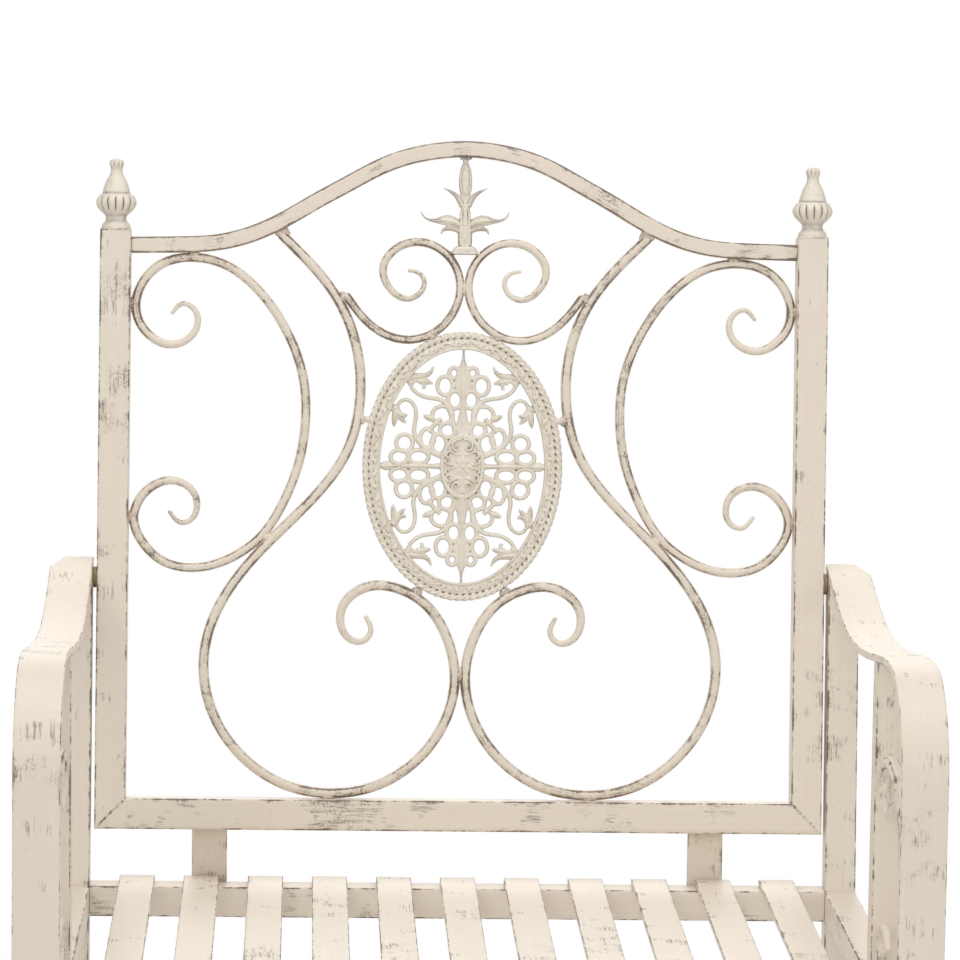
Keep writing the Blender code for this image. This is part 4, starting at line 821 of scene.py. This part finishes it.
zinc = small_finish("zinc_plate", ZINC, 1.0, 0.28, 0.3, 240.0, 4.0)
dull_metal = small_finish("dull_spacer", DULL_BROWN_METAL, 0.55, 0.42, 0.25, 300.0, 3.0)


def turned(name, profile, place, finish, node_name, hollow=False, sides=BOLT_SIDES,
           flutes=None, smooth_angle=35.0):
    """A turned piece from (distance along its axis, radius) pairs; flutes may wave the radius."""
    stations = []
    for along, radius in profile:
        ring, section = [], []
        for side, (turn_cos, turn_sin) in enumerate(circle(sides)):
            reach = radius * (flutes(along, 2 * math.pi * side / sides) if flutes else 1.0)
            ring.append(place(along, reach * turn_cos, reach * turn_sin))
            section.append((radius * turn_cos, radius * turn_sin))
        stations.append((ring, section, along))
    shaped(name, stations, [0.3] * sides, finish, (node_name,), hollow, smooth_angle)


def across_place(centre, sign):
    """Places a turned piece whose axis runs inwards across the chair from one side."""
    return lambda along, a, b: (centre[0] - sign * along, centre[1] + a, centre[2] + b)


def forward_place(centre):
    """Places a turned piece whose axis runs forwards."""
    return lambda along, a, b: (centre[0] + a, centre[1] - along, centre[2] + b)


def domed_bolt(length):
    """A bolt's profile from the top of its domed head to the end of its shank."""
    profile = []
    for share in np.linspace(0.12, 1.0, 9):
        angle = math.pi / 2 * share
        profile.append((-AIR_GAP - BOLT_RISE * (0.18 + 0.82 * math.cos(angle)),
                        BOLT_HEAD * math.sin(angle)))
    return profile + [(-AIR_GAP, BOLT_HEAD), (-AIR_GAP, BOLT_SHANK), (length, BOLT_SHANK)]


ring_profile = [(-0.0012, 0.0033), (-0.0012, 0.0072), (-0.0009, 0.0075), (0.0009, 0.0075),
                (0.0012, 0.0072), (0.0012, 0.0033)]
for side, sign in SIDES:
    outside = sign * (LEG_INSIDE + TUBE)
    for name, y, z, length in (
            ("arm_bolt", panel_y(ARM_BOLT_Z), ARM_BOLT_Z, ARM_BOLT_LENGTH),
            ("rear_seat_bolt", REAR_RAIL_Y, SEAT_BOLT_Z, SEAT_BOLT_LENGTH),
            ("front_seat_bolt", FRONT_RAIL_Y, SEAT_BOLT_Z, SEAT_BOLT_LENGTH)):
        turned(f"zinc_{name}_{side}", domed_bolt(length), across_place((outside, y, z), sign), zinc,
               f"{name}_{side}")
    lug_face = (sign * LUG_ACROSS, lug_y + LUG_THICKNESS / 2, SEAT_BOLT_Z)
    turned(f"zinc_lug_bolt_{side}", domed_bolt(LUG_BOLT_LENGTH), forward_place(lug_face), zinc,
           f"lug_bolt_{side}")
    ring_centre = (sign * (HALF_BACK + SPACER_ROOM / 2), panel_y(ARM_BOLT_Z), ARM_BOLT_Z)
    ring_place = across_place(ring_centre, sign)
    turned(f"dull_spacer_{side}", ring_profile, ring_place, dull_metal, f"spacer_{side}",
           hollow=True)


# The feet are moulded plastic: a plug in each rear leg and a boot over each flat front leg.
PLASTIC_CREAM = (0.60, 0.53, 0.43)
plastic, start = start_material("glide_plastic")
plastic_shader = start.node("ShaderNodeBsdfPrincipled", (), {
    "Base Color": (*PLASTIC_CREAM, 1.0), "Roughness": 0.5})
start.node("ShaderNodeOutputMaterial", (), {"Surface": plastic_shader})


def level_rings(outline_sizes, centre):
    """Stations of rounded rectangles from (width, depth, corner, height, shift in y) entries."""
    stations = []
    for width, depth, corner, height, shift in outline_sizes:
        section, _ = rounded_section(width, depth, corner, 0.001)
        ring = [(centre[0] + x, centre[1] + shift + y, height) for x, y in section]
        stations.append((ring, section, height))
    return stations


PLAIN_WEAR = [0.0] * len(TUBE_SECTION)
foot_stretch = math.hypot(1.0, foot_way[0])
sole, stem = 0.024, TUBE - 0.0036
boot_x, boot_y = ARM_WIDTH + 0.004, ARM_THICKNESS + 0.004
hole_x, hole_y = ARM_WIDTH + 0.0006, ARM_THICKNESS + 0.0006
for side, sign in SIDES:
    rear_centre = (sign * (LEG_INSIDE + TUBE / 2), REAR_FOOT_Y)
    rear_rings = level_rings([
        (sole - 0.002, (sole - 0.002) * foot_stretch, 0.002, 0.0, 0.0),
        (sole, sole * foot_stretch, 0.002, 0.001, 0.0),
        (sole, sole * foot_stretch, 0.002, 0.004, 0.0),
        (stem, stem * foot_stretch, 0.001, 0.004, 0.0),
        (stem, stem * foot_stretch, 0.001, 0.016, -foot_way[0] * 0.012),
    ], rear_centre)
    shaped(f"plastic_rear_glide_{side}", rear_rings, PLAIN_WEAR, plastic,
           (f"rear_glide_{side}",))
    front_centre = (sign * (LEG_INSIDE + ARM_WIDTH / 2), FRONT_LEG_Y + ARM_THICKNESS / 2)
    boot_rings = level_rings([
        (boot_x - 0.001, boot_y - 0.001, 0.001, 0.0, 0.0), (boot_x, boot_y, 0.0015, 0.0006, 0.0),
        (boot_x, boot_y, 0.0015, 0.0150, 0.0), (boot_x - 0.001, boot_y - 0.001, 0.0012, 0.016, 0.0),
        (hole_x, hole_y, 0.0009, 0.016, 0.0), (hole_x, hole_y, 0.0009, 0.004, 0.0),
    ], front_centre)
    shaped(f"plastic_front_glide_{side}", boot_rings, PLAIN_WEAR, plastic,
           (f"front_glide_{side}",))


# Each post ends in a cast finial: a flared foot, a fluted bowl, a pointed bud and a petal knob.
FINIAL_PROFILE = [
    (0.0, 10.4), (1.0, 10.5), (2.6, 10.2), (4.0, 9.6), (5.2, 8.4), (6.6, 7.5), (8.0, 7.3),
    (9.6, 7.6), (10.8, 8.6), (11.8, 9.8), (12.9, 11.0), (14.4, 12.4), (16.0, 13.5), (17.6, 14.2),
    (19.5, 14.5), (21.2, 14.1), (22.8, 13.1), (24.0, 12.3), (24.8, 11.6), (25.2, 10.8),
    (25.9, 10.0), (26.8, 9.7), (28.5, 9.4), (30.3, 8.9), (32.2, 8.3), (34.3, 7.5), (36.3, 6.5),
    (38.2, 5.4), (40.0, 4.6), (41.8, 4.2), (43.3, 4.15), (44.5, 4.5), (45.7, 5.0), (47.0, 5.2),
    (48.0, 5.1), (49.2, 4.4), (50.0, 3.0), (50.5, 1.2),
]


HIGHLIGHT_CREAM = (0.86, 0.81, 0.72)


def casting_paint(name, hollow_shade, flank_shade):
    """The same cream on castings, with painted shade in brown in the hollows and on the flanks that
    turn away from the front, and a painted highlight of lighter cream on the ridges.
    """
    finish, start = start_material(name)
    place = start.node("ShaderNodeTexCoord", output="Object")
    hollow = start.node("ShaderNodeNewGeometry", output="Pointiness")
    clouds = noise(place, 42.0, 4.0)
    patches = noise(place, 190.0, 5.0, 0.65)
    grit = noise(place, 900.0, 2.0, 0.5)
    front = start.node("ShaderNodeVectorMath", {"operation": "DOT_PRODUCT"}, {
        0: start.node("ShaderNodeNewGeometry", output="Normal"),
        1: (0.0, -math.cos(RECLINE), math.sin(RECLINE))}, "Value")
    # Painted shade: brown laid on the flanks that turn away from the front, where the front light
    # falls less.
    flank_shade_mask = 1.0 - smooth_step(front.math("ABSOLUTE") + (patches - 0.5) * 0.5, 0.36, 0.86)
    # Painted shade: brown in the hollows and the crevices between beads, found from the mesh's
    # pointiness.
    deep = smooth_step(0.5 - hollow + (patches - 0.5) * 0.05, 0.030 - hollow_shade, 0.075 - hollow_shade)
    # Painted highlight: lighter cream on the ridges and high points.
    ridge_highlight = smooth_step(hollow - 0.5 + (patches - 0.5) * 0.05, 0.03, 0.10)
    tone = layer(smooth_step(clouds * 0.6 + patches * 0.4, 0.38, 0.62), CREAM, PALE_CREAM)
    tone = layer(ridge_highlight * 0.8, tone, HIGHLIGHT_CREAM)
    # The brown laid on is painted shade from the hollows and flanks, plus real specks of grit.
    shade_and_grit = deep * 0.85 + flank_shade_mask * flank_shade + smooth_step(grit + patches * 0.5, 0.84, 0.96) * 0.3
    tone = layer(shade_and_grit.math("MINIMUM", 0.88), tone, BROWN)
    normal = start.node("ShaderNodeBump", (), {
        "Strength": 0.3, "Distance": 0.0004, "Height": patches * 0.6 + grit * 0.2})
    shader = start.node("ShaderNodeBsdfPrincipled", (), {
        "Base Color": tone, "Roughness": 0.55 + deep * 0.15, "Normal": normal})
    start.node("ShaderNodeOutputMaterial", (), {"Surface": shader})
    return finish


# The finial's paint: a little painted shade in its hollows and on its flanks, and a painted
# highlight on its ridges.
finial_paint = casting_paint("finial_paint", 0.035, 0.2)
FINIAL_FLUTES = 14
FINIAL_TIP = 0.3
WITHIN_SOLID = 0.997


def finial_flutes(along, angle):
    """Grooves between the bowl's ribs, and shallow petals on the knob."""
    bowl = math.exp(-((along * 1000 - 18.0) / 5.0) ** 4)
    knob = math.exp(-((along * 1000 - 47.0) / 2.6) ** 4)
    rib = abs(math.cos(FINIAL_FLUTES / 2 * angle)) ** 0.7
    petal = abs(math.cos(4 * angle)) ** 0.8
    return 1.0 - bowl * 0.13 * (1 - rib) - knob * 0.16 * (1 - petal)


finial_line = [(along * MM, max(radius, FINIAL_TIP) * MM * WITHIN_SOLID)
               for along, radius in spline(FINIAL_PROFILE, 110)]
for side, sign in SIDES:
    middle = sign * (HALF_BACK - TUBE / 2)
    turned(f"painted_finial_{side}", finial_line,
           lambda along, a, b: on_panel(middle + a, b, POST_LENGTH + AIR_GAP + along),
           finial_paint, f"finial_{side}", sides=140,
           flutes=finial_flutes, smooth_angle=50.0)


# The oval medallion is one casting: a rope border, a band with a leaf vine and an open tracery
# of beaded bars round a small boss. Two ears tie it to the long scrolls.
MEDALLION_HALF = np.array([71.77, 96.5])
MEDALLION_UP = 0.26089
ROPE_RADIUS = 2.6
ROPE_LAY = 15.3
ROPE_DEPTH = 0.42
VINE_WAVES = 26
VINE_STEPS = 780
VINE_INSET = 8.5
BEAD = 1.55
QUARTERS = ((1, 1), (-1, 1), (-1, -1), (1, -1))
TRACERY_LOOPS = [
    ((13.0, 57.6), (5.5, 6.7)), ((5.8, 47.6), (5.0, 6.2)), ((14.6, 36.6), (7.4, 6.4)),
    ((25.4, 20.0), (5.0, 6.8)), ((17.0, 16.0), (5.4, 7.0)), ((31.4, 6.6), (7.2, 4.9)),
    ((45.2, 6.4), (6.3, 4.9)), ((41.6, 16.4), (5.9, 6.1)), ((6.7, 66.8), (3.4, 3.8)),
    ((10.8, 25.8), (5.6, 5.2)),
]
TRACERY_BARS = [
    [(5.5, 25), (7.4, 33), (10.4, 41.6), (14, 46.4), (19, 48.2), (25, 49), (30.5, 50.6),
     (35, 53.8), (37.2, 57.2), (35.6, 60.4), (31.4, 61), (28, 58.6), (28.8, 55)],
    [(13, 6), (22, 10), (28, 13.6), (32.4, 18.6), (34.8, 25), (34, 32), (33.7, 39), (36.4, 45.2),
     (41.4, 47.4), (45.8, 44.6), (47.4, 40)],
]
TRACERY_LEAVES = [
    [(40, 62.6), (34, 63.9), (28.2, 64.5), (23.8, 66.8), (21.4, 71.6)],
    [(36.6, 58.2), (39.4, 62.4), (43.4, 66.4)],
    [(32, 60.9), (26.8, 60.4), (21.6, 59.1)],
    [(47.6, 41.2), (45.2, 35.4), (40.4, 30.4)],
    [(46.9, 38.4), (43.2, 35.8), (39.6, 37)],
    [(47.7, 39.4), (48.8, 33.6), (49.4, 27.6)],
    [(46.2, 42), (50.4, 40.9), (54.5, 40.5)],
    [(20.4, 34), (24.6, 34.7), (28.4, 36.6)],
]
TIE_BAR = [(15.6, 34.2), (25.0, 24.6)]
SPEAR = [(14, 2.6), (24, 1.7), (38, 2.0), (50, 1.5), (52.5, 3.2), (60.5, 0.5)]
SPIKE = [(20, 6.2), (28, 5.0), (36, 3.2), (46, 2.0), (52, 3.2), (57, 6.6), (64, 5.4), (70.5, 3.4),
         (75, 1.6), (86, 1.0)]
BOSS_HALF = np.array([16.0, 23.5])
BOSS_SCROLLS = (
    [(0.9, 19.2), (3.8, 19.0), (6.6, 16.6), (6.9, 13.4), (4.6, 11.6), (2.6, 13.2), (3.6, 15.0)],
    [(1.4, 8.6), (5.0, 8.8), (9.0, 10.8), (11.4, 9.0), (10.8, 6.2), (8.6, 6.6)],
    [(6.4, 1.4), (9.6, 1.6), (12.2, 3.4), (11.6, 4.9)],
)


def add_rings(work, rings, closed=False):
    skin(work, [[work.verts.new(point) for point in ring] for ring in rings], closed)


def bead(work, points, halves, depth, raised=0.0, closed=False, sides=12):
    """A rounded bar along a flat path, in millimetres; halves and depth are its half sizes."""
    points = np.array(points, dtype=float)
    if closed:
        ahead = np.roll(points, -1, axis=0) - np.roll(points, 1, axis=0)
    else:
        ahead = np.gradient(points, axis=0)
    ahead /= np.linalg.norm(ahead, axis=1)[:, None]
    rings = []
    for point, way, half, deep in zip(points, ahead, np.broadcast_to(halves, len(points)),
                                      np.broadcast_to(depth, len(points))):
        rings.append([(point[0] - way[1] * half * turn_cos, -raised - deep * turn_sin,
                       point[1] + way[0] * half * turn_cos) for turn_cos, turn_sin in circle(sides)])
    add_rings(work, rings, closed)


def in_quarters(points):
    """The same points mirrored to the four quarters of the medallion."""
    return [np.array(points, dtype=float) * quarter for quarter in QUARTERS]


def oval(inset, count):
    """Points and outward normals at equal steps round the rim, at a distance inside its edge."""
    angles = np.linspace(0.0, 2 * math.pi, 4801)
    outward = np.stack([np.cos(angles), np.sin(angles)], axis=1)
    normals = outward * MEDALLION_HALF[::-1]
    normals /= np.linalg.norm(normals, axis=1)[:, None]
    line = outward * MEDALLION_HALF - normals * inset
    along = distances_along(line)
    places = np.linspace(0.0, along[-1], count, endpoint=False)
    pick = [np.interp(places, along, values[:, axis]) for values in (line, normals)
            for axis in (0, 1)]
    return np.stack(pick[:2], axis=1), np.stack(pick[2:], axis=1), along[-1]


def swept(profile, count):
    """Half widths from (distance, half width) pairs, at even steps along a straight rib."""
    curve = spline(profile, 200)
    places = np.linspace(profile[0][0], profile[-1][0], count)
    return places, np.maximum(np.interp(places, curve[:, 0], curve[:, 1]), 0.3)


def casting(name, work, up, voxel, kept, finish, node_name):
    """Puts a casting's shapes on the panel and melts them into one skin with soft hollows."""
    for vertex in work.verts:
        vertex.co = on_panel(vertex.co.x * MM, vertex.co.y * MM, up + vertex.co.z * MM)
    piece = put_on_chair(name, work, finish, (node_name,))
    melt = piece.modifiers.new("melt", "REMESH")
    melt.mode = "VOXEL"
    melt.voxel_size = voxel
    melt.use_smooth_shade = True
    soften = piece.modifiers.new("soften", "SMOOTH")
    soften.factor = 0.5
    soften.iterations = 1
    thin = piece.modifiers.new("thin", "DECIMATE")
    thin.ratio = kept


# The medallion's paint: painted shade in its hollows and on its flanks, and a painted highlight on
# its ridges.
cast_paint = casting_paint("medallion_paint", 0.012, 0.38)
work = bmesh.new()

rim_line, rim_normals, _ = oval(0.0, 420)
rim_section = [(1.2, 0.4), (5.0, 0.6), (5.5, 1.7), (6.1, 2.1), (11.0, 2.1), (11.4, 2.3), (11.8, 3.1),
               (12.4, 3.2), (12.9, 2.6), (13.0, 1.6), (13.0, -3.2), (12.6, -3.5), (1.6, -3.5),
               (1.1, -3.0)]
add_rings(work, [[(point[0] - normal[0] * inset, -front, point[1] - normal[1] * inset)
                  for inset, front in rim_section]
                 for point, normal in zip(rim_line, rim_normals)], closed=True)

rope_line, rope_normals, rope_length = oval(ROPE_RADIUS, 720)
lays = round(rope_length / ROPE_LAY)
rings = []
for index, (point, normal) in enumerate(zip(rope_line, rope_normals)):
    ring = []
    for side in range(24):
        angle = 2 * math.pi * side / 24
        strand = abs(math.cos(1.5 * angle - math.pi * 3 * lays * index / len(rope_line)))
        radius = ROPE_RADIUS * (1.0 - ROPE_DEPTH * (1.0 - strand))
        spot = point + normal * radius * math.cos(angle)
        ring.append((spot[0], -0.7 - radius * math.sin(angle), spot[1]))
    rings.append(ring)
add_rings(work, rings, closed=True)

vine_line, vine_normals, _ = oval(VINE_INSET, VINE_STEPS)
waves = np.sin(2 * math.pi * VINE_WAVES * np.arange(VINE_STEPS) / VINE_STEPS)
bead(work, vine_line + vine_normals * waves[:, None] * 1.5, 0.55, 1.2, 2.0, closed=True, sides=8)
for leaf in range(2 * VINE_WAVES):
    place = round((leaf + 0.5) * VINE_STEPS / (2 * VINE_WAVES))
    ahead = np.array([-vine_normals[place][1], vine_normals[place][0]])
    turn = 1 if leaf % 2 else -1
    root = vine_line[place] + vine_normals[place] * 0.9 * turn
    for spread, long in ((-0.9, 2.3), (-0.2, 3.4), (0.6, 2.4)):
        way = ahead * math.cos(spread) - vine_normals[place] * turn * math.sin(0.8 + spread)
        way /= np.linalg.norm(way)
        tip = root + way * long
        bead(work, [root, root + way * long * 0.35, root + way * long * 0.75, tip],
             [0.5, 0.95, 0.75, 0.2], [0.6, 1.35, 1.2, 0.4], 2.0, sides=8)

for centre, half in TRACERY_LOOPS:
    for turned_ring in in_quarters(np.array(circle(32)) * half + centre):
        bead(work, turned_ring, BEAD, 1.8, closed=True)
for points in TRACERY_BARS:
    path = spline(points, 46)
    for turned_path in in_quarters(path):
        bead(work, turned_path, np.linspace(1.2, 0.8, 46) * BEAD, 1.95)
for points in TRACERY_LEAVES:
    path = spline(points, 18)
    halves = BEAD * 1.45 * np.sin(np.linspace(0.35, 1.0, 18) * math.pi) ** 0.7 + 0.25
    for turned_path in in_quarters(path):
        bead(work, turned_path, halves, np.linspace(2.2, 1.2, 18))
        bead(work, turned_path[2:-3], 0.45, 0.7, 1.9, sides=8)
for turned_path in in_quarters(TIE_BAR):
    bead(work, turned_path, BEAD, 2.3)
for turn in (-1, 1):
    places, halves = swept(SPEAR, 26)
    bead(work, [(turn * place, 0.0) for place in places], halves, 2.0)
    bead(work, [(turn * place, 0.0) for place in places], halves * 0.30, 0.8, 1.8, sides=8)
    places, halves = swept(SPIKE, 40)
    bead(work, [(0.0, turn * place) for place in places], halves, 2.1)
    bead(work, [(0.0, turn * place) for place in places], halves * 0.30, 0.9, 1.9, sides=8)
    bead(work, [(turn * 62, 33), (turn * 66, 33), (turn * 71.4, 33)], 2.2, 2.0)

boss_profile = [(0.99, -2.4), (1.0, 0.0), (1.0, 2.4), (0.96, 3.1), (0.91, 3.2), (0.86, 2.6),
                (0.83, 1.9), (0.70, 1.9), (0.45, 2.5), (0.20, 2.9), (0.03, 3.0)]
add_rings(work, [[(BOSS_HALF[0] * share * turn_cos, -front, BOSS_HALF[1] * share * turn_sin)
                  for turn_cos, turn_sin in circle(64)] for share, front in boss_profile])
for petal in range(8):
    way = np.array([math.sin(math.pi * petal / 4), math.cos(math.pi * petal / 4)])
    bead(work, [way * 1.4, way * 3.4, way * 5.6, way * 7.2], [0.6, 1.5, 1.4, 0.3],
         [0.5, 1.1, 0.9, 0.3], 2.6, sides=10)
bead(work, [(0, -1.6), (0, -0.8), (0, 0.8), (0, 1.6)], [0.4, 1.6, 1.6, 0.4], [0.3, 1.3, 1.3, 0.3],
     2.9)
for scroll in BOSS_SCROLLS:
    for turned_path in in_quarters(spline(scroll, 22)):
        bead(work, turned_path, np.linspace(0.65, 0.95, 22), 1.2, 2.3, sides=8)

casting("painted_medallion", work, MEDALLION_UP, 0.00040, 0.32, cast_paint, "medallion")


# The palmette is a second, smaller casting that fills the point of the arch: three pairs of curled
# leaves and a bud on a stem, rising from a collar that rests on the two heart scrolls.
PALMETTE_UP = 0.41224
PALMETTE_SPEAR = [(34, 3.2), (42, 3.4), (47, 4.5), (52, 4.8), (58, 4.3), (63, 3.1), (66.5, 1.9),
                  (69, 2.9), (71.6, 3.1)]
PALMETTE_STEM = [(2, 4.9), (12, 5.2), (18, 5.2), (24, 4.5), (30, 3.5), (36, 3.4)]
PALMETTE_LEAVES = [
    ([(2, 34.8), (5, 40.4), (8.6, 43.9), (12, 45.9), (15.8, 47.6)], [2.5, 2.4, 1.6, 0.9, 0.3]),
    ([(3, 21.4), (8, 23.3), (14, 24.5), (19.5, 24.2), (24.5, 24.6), (28.3, 26.1), (30.6, 28.5),
      (31.6, 31.2)], [2.8, 3.5, 4.1, 3.3, 1.6, 1.0, 0.7, 0.3]),
    ([(2, 16.2), (8, 18.6), (13, 18.6), (15.9, 17.2), (17.2, 14.6)], [2.4, 2.1, 2.0, 1.3, 0.3]),
]
COLLAR = [(0.0, 8.6, 3.0), (0.6, 9.6, 3.9), (1.9, 9.4, 4.2), (2.5, 8.6, 3.7), (3.2, 8.6, 4.0),
          (4.6, 7.9, 4.1), (5.6, 6.6, 3.6), (6.1, 5.2, 3.0)]

# The palmette's paint: painted shade in its hollows and heavy painted shade on its flanks, and a
# painted highlight on its ridges.
leaf_paint = casting_paint("palmette_paint", 0.028, 0.60)
work = bmesh.new()
for profile, depth in ((PALMETTE_SPEAR, 2.5), (PALMETTE_STEM, 2.8)):
    places, halves = swept(profile, 30)
    bead(work, [(0.0, place) for place in places], halves, depth * (0.45 + 0.55 * halves / 5.2))
places = np.linspace(43.0, 65.0, 20)
bud = 2.7 * np.sin(np.linspace(0.12, 0.97, 20) * math.pi) ** 0.8
bead(work, [(0.0, place) for place in places], bud, bud * 0.45, 2.2)
bead(work, [(0.0, place) for place in np.linspace(8, 33, 12)], 1.5, 1.0, 2.2)
for sign in (-1, 1):
    bead(work, [(sign * 3.1, place) for place in np.linspace(8, 31, 12)], 0.9, 0.9, 1.7)
    for points, halves in PALMETTE_LEAVES:
        path = spline(points, 30) * (sign, 1)
        wide = np.interp(np.linspace(0, 1, 30), np.linspace(0, 1, len(halves)), halves)
        bead(work, path, wide, 1.7 * (0.4 + 0.6 * wide / max(halves)))
        bead(work, path, wide * 0.66, 2.5 * (0.35 + 0.65 * wide / max(halves)))
        bead(work, path[3:-6], wide[3:-6] * 0.16 + 0.15, 0.7, 2.1, sides=8)
        edges = left_normals(path) * sign * wide[:, None]
        for step in range(4, 20, 2):
            notch = path[step] + edges[step] * 0.92
            bead(work, [notch - edges[step] * 0.28, notch, notch + edges[step] * 0.12],
                 [0.35, 0.75, 0.35], 1.3, 0.4, sides=8)
rings = []
for up, wide, deep in COLLAR:
    ring = []
    for x, y in circle(48):
        ring.append((wide * math.copysign(abs(x) ** 0.5, x), deep * math.copysign(abs(y) ** 0.5, y),
                     up))
    rings.append(ring)
add_rings(work, rings)
casting("painted_palmette", work, PALMETTE_UP, 0.00036, 0.45, leaf_paint, "palmette")


# Small welds hold the scrolls to each other and to the frame. Their beads stand a little proud,
# and the paint over them has crackled down to brown.
def closest(path_a, path_b):
    """The middle of the shortest way between two flat paths."""
    gaps = np.linalg.norm(path_a[:, None] - path_b[None], axis=2)
    a, b = np.unravel_index(gaps.argmin(), gaps.shape)
    return (path_a[a] + path_b[b]) / 2


rail_underside = arch - left_normals(arch) * TOP_BAR
medallion_edge = oval(0.0, 400)[0] * MM + (0.0, MEDALLION_UP)
outer, long_scroll, heart = curves["outer_scroll"], curves["s_scroll"], curves["heart_scroll"]
post_face = np.array([(HALF_BACK - TUBE, up) for up in np.linspace(0.02, POST_LENGTH, 600)])
upper, lower = outer[outer[:, 1] > 0.30], outer[outer[:, 1] < 0.30]
low_curl = long_scroll[long_scroll[:, 1] < 0.18]
welds = [
    (closest(upper, post_face), 3.0, 5.5), (closest(lower, post_face), 3.0, 5.5),
    (closest(outer, rail_underside), 6.0, 2.6), (closest(long_scroll[:4], rail_underside), 5.2, 4.4),
    (closest(long_scroll, np.array([(x, TUBE) for x in np.linspace(0.05, 0.2, 300)])), 6.5, 2.8),
    (closest(outer, long_scroll), 4.6, 4.2), (closest(heart[:3], long_scroll), 3.6, 4.8),
    (closest(heart, medallion_edge), 5.0, 2.6), (np.array([0.0720, MEDALLION_UP + 0.033]), 2.6, 4.0),
    (closest(low_curl, medallion_edge), 4.0, 4.0), (np.array([0.0096, 0.4128]), 2.2, 2.0),
    (np.array([0.0, long_scroll[long_scroll[:, 0].argmin(), 1]]), 2.4, 6.0),
    (np.array([0.0, heart[heart[:, 0].argmin(), 1]]), 2.2, 5.0), (np.array([0.0, 0.4812]), 4.4, 1.4),
]
weld_paint = paint("weld_paint", 0.62, 0.16, (300.0, 300.0), 0.5)


def weld_rings(across, up, half_across, half_up, depth, seed):
    """One lumpy bead on the panel; sizes in millimetres."""
    rings = []
    for level in np.linspace(0.05, 0.95, 9) * math.pi:
        ring, section = [], []
        for side in range(16):
            angle = 2 * math.pi * side / 16
            lump = 1.0 + 0.09 * math.sin(5 * angle + seed) + 0.07 * math.cos(4 * level + 2 * seed)
            x = half_across * math.sin(level) * math.cos(angle) * lump * MM
            z = half_up * math.sin(level) * math.sin(angle) * lump * MM
            deep = -depth * math.cos(level) * MM
            ring.append(on_panel(across + x, deep, up + z))
            section.append((x, z))
        rings.append((ring, section, seed + level * 0.001))
    return rings


for side, sign in SIDES:
    work = bmesh.new()
    wear_layer = work.verts.layers.float.new("wear")
    grain_layer = work.verts.layers.float_vector.new("grain")
    for front in (-1, 1):
        seam = np.linspace(-10.6, 10.6, 12)
        bead(work, [(sign * (HALF_BACK - TUBE / 2) / MM + step, POST_LENGTH / MM) for step in seam],
             0.75 + 0.3 * np.sin(seam * 1.3), 0.5, -front * (TUBE / MM / 2 - 0.25), sides=8)
        steps = np.linspace(0.4, 21.6, 12)
        bead(work, [(sign * (HALF_BACK / MM - step), step) for step in steps],
             0.9 + 0.35 * np.sin(steps * 1.7), 0.45, -front * (TUBE / MM / 2 - 0.1), sides=8)
    for vertex in work.verts:
        vertex[wear_layer] = 0.5
        vertex[grain_layer] = vertex.co * MM
        vertex.co = on_panel(vertex.co.x * MM, vertex.co.y * MM, vertex.co.z * MM)
    put_on_chair(f"mitre_weld_{side}", work, weld_paint, ())
    for number, (place, half_across, half_up) in enumerate(welds):
        if place[0] == 0.0 and sign < 0:
            continue
        shaped(f"weld_{number + 1}_{side}",
               weld_rings(sign * place[0], place[1], half_across, half_up, 3.3, number + 0.3 * sign),
               [0.45] * 16, weld_paint, (), smooth_angle=60.0)


bpy.context.view_layer.update()
low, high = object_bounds()
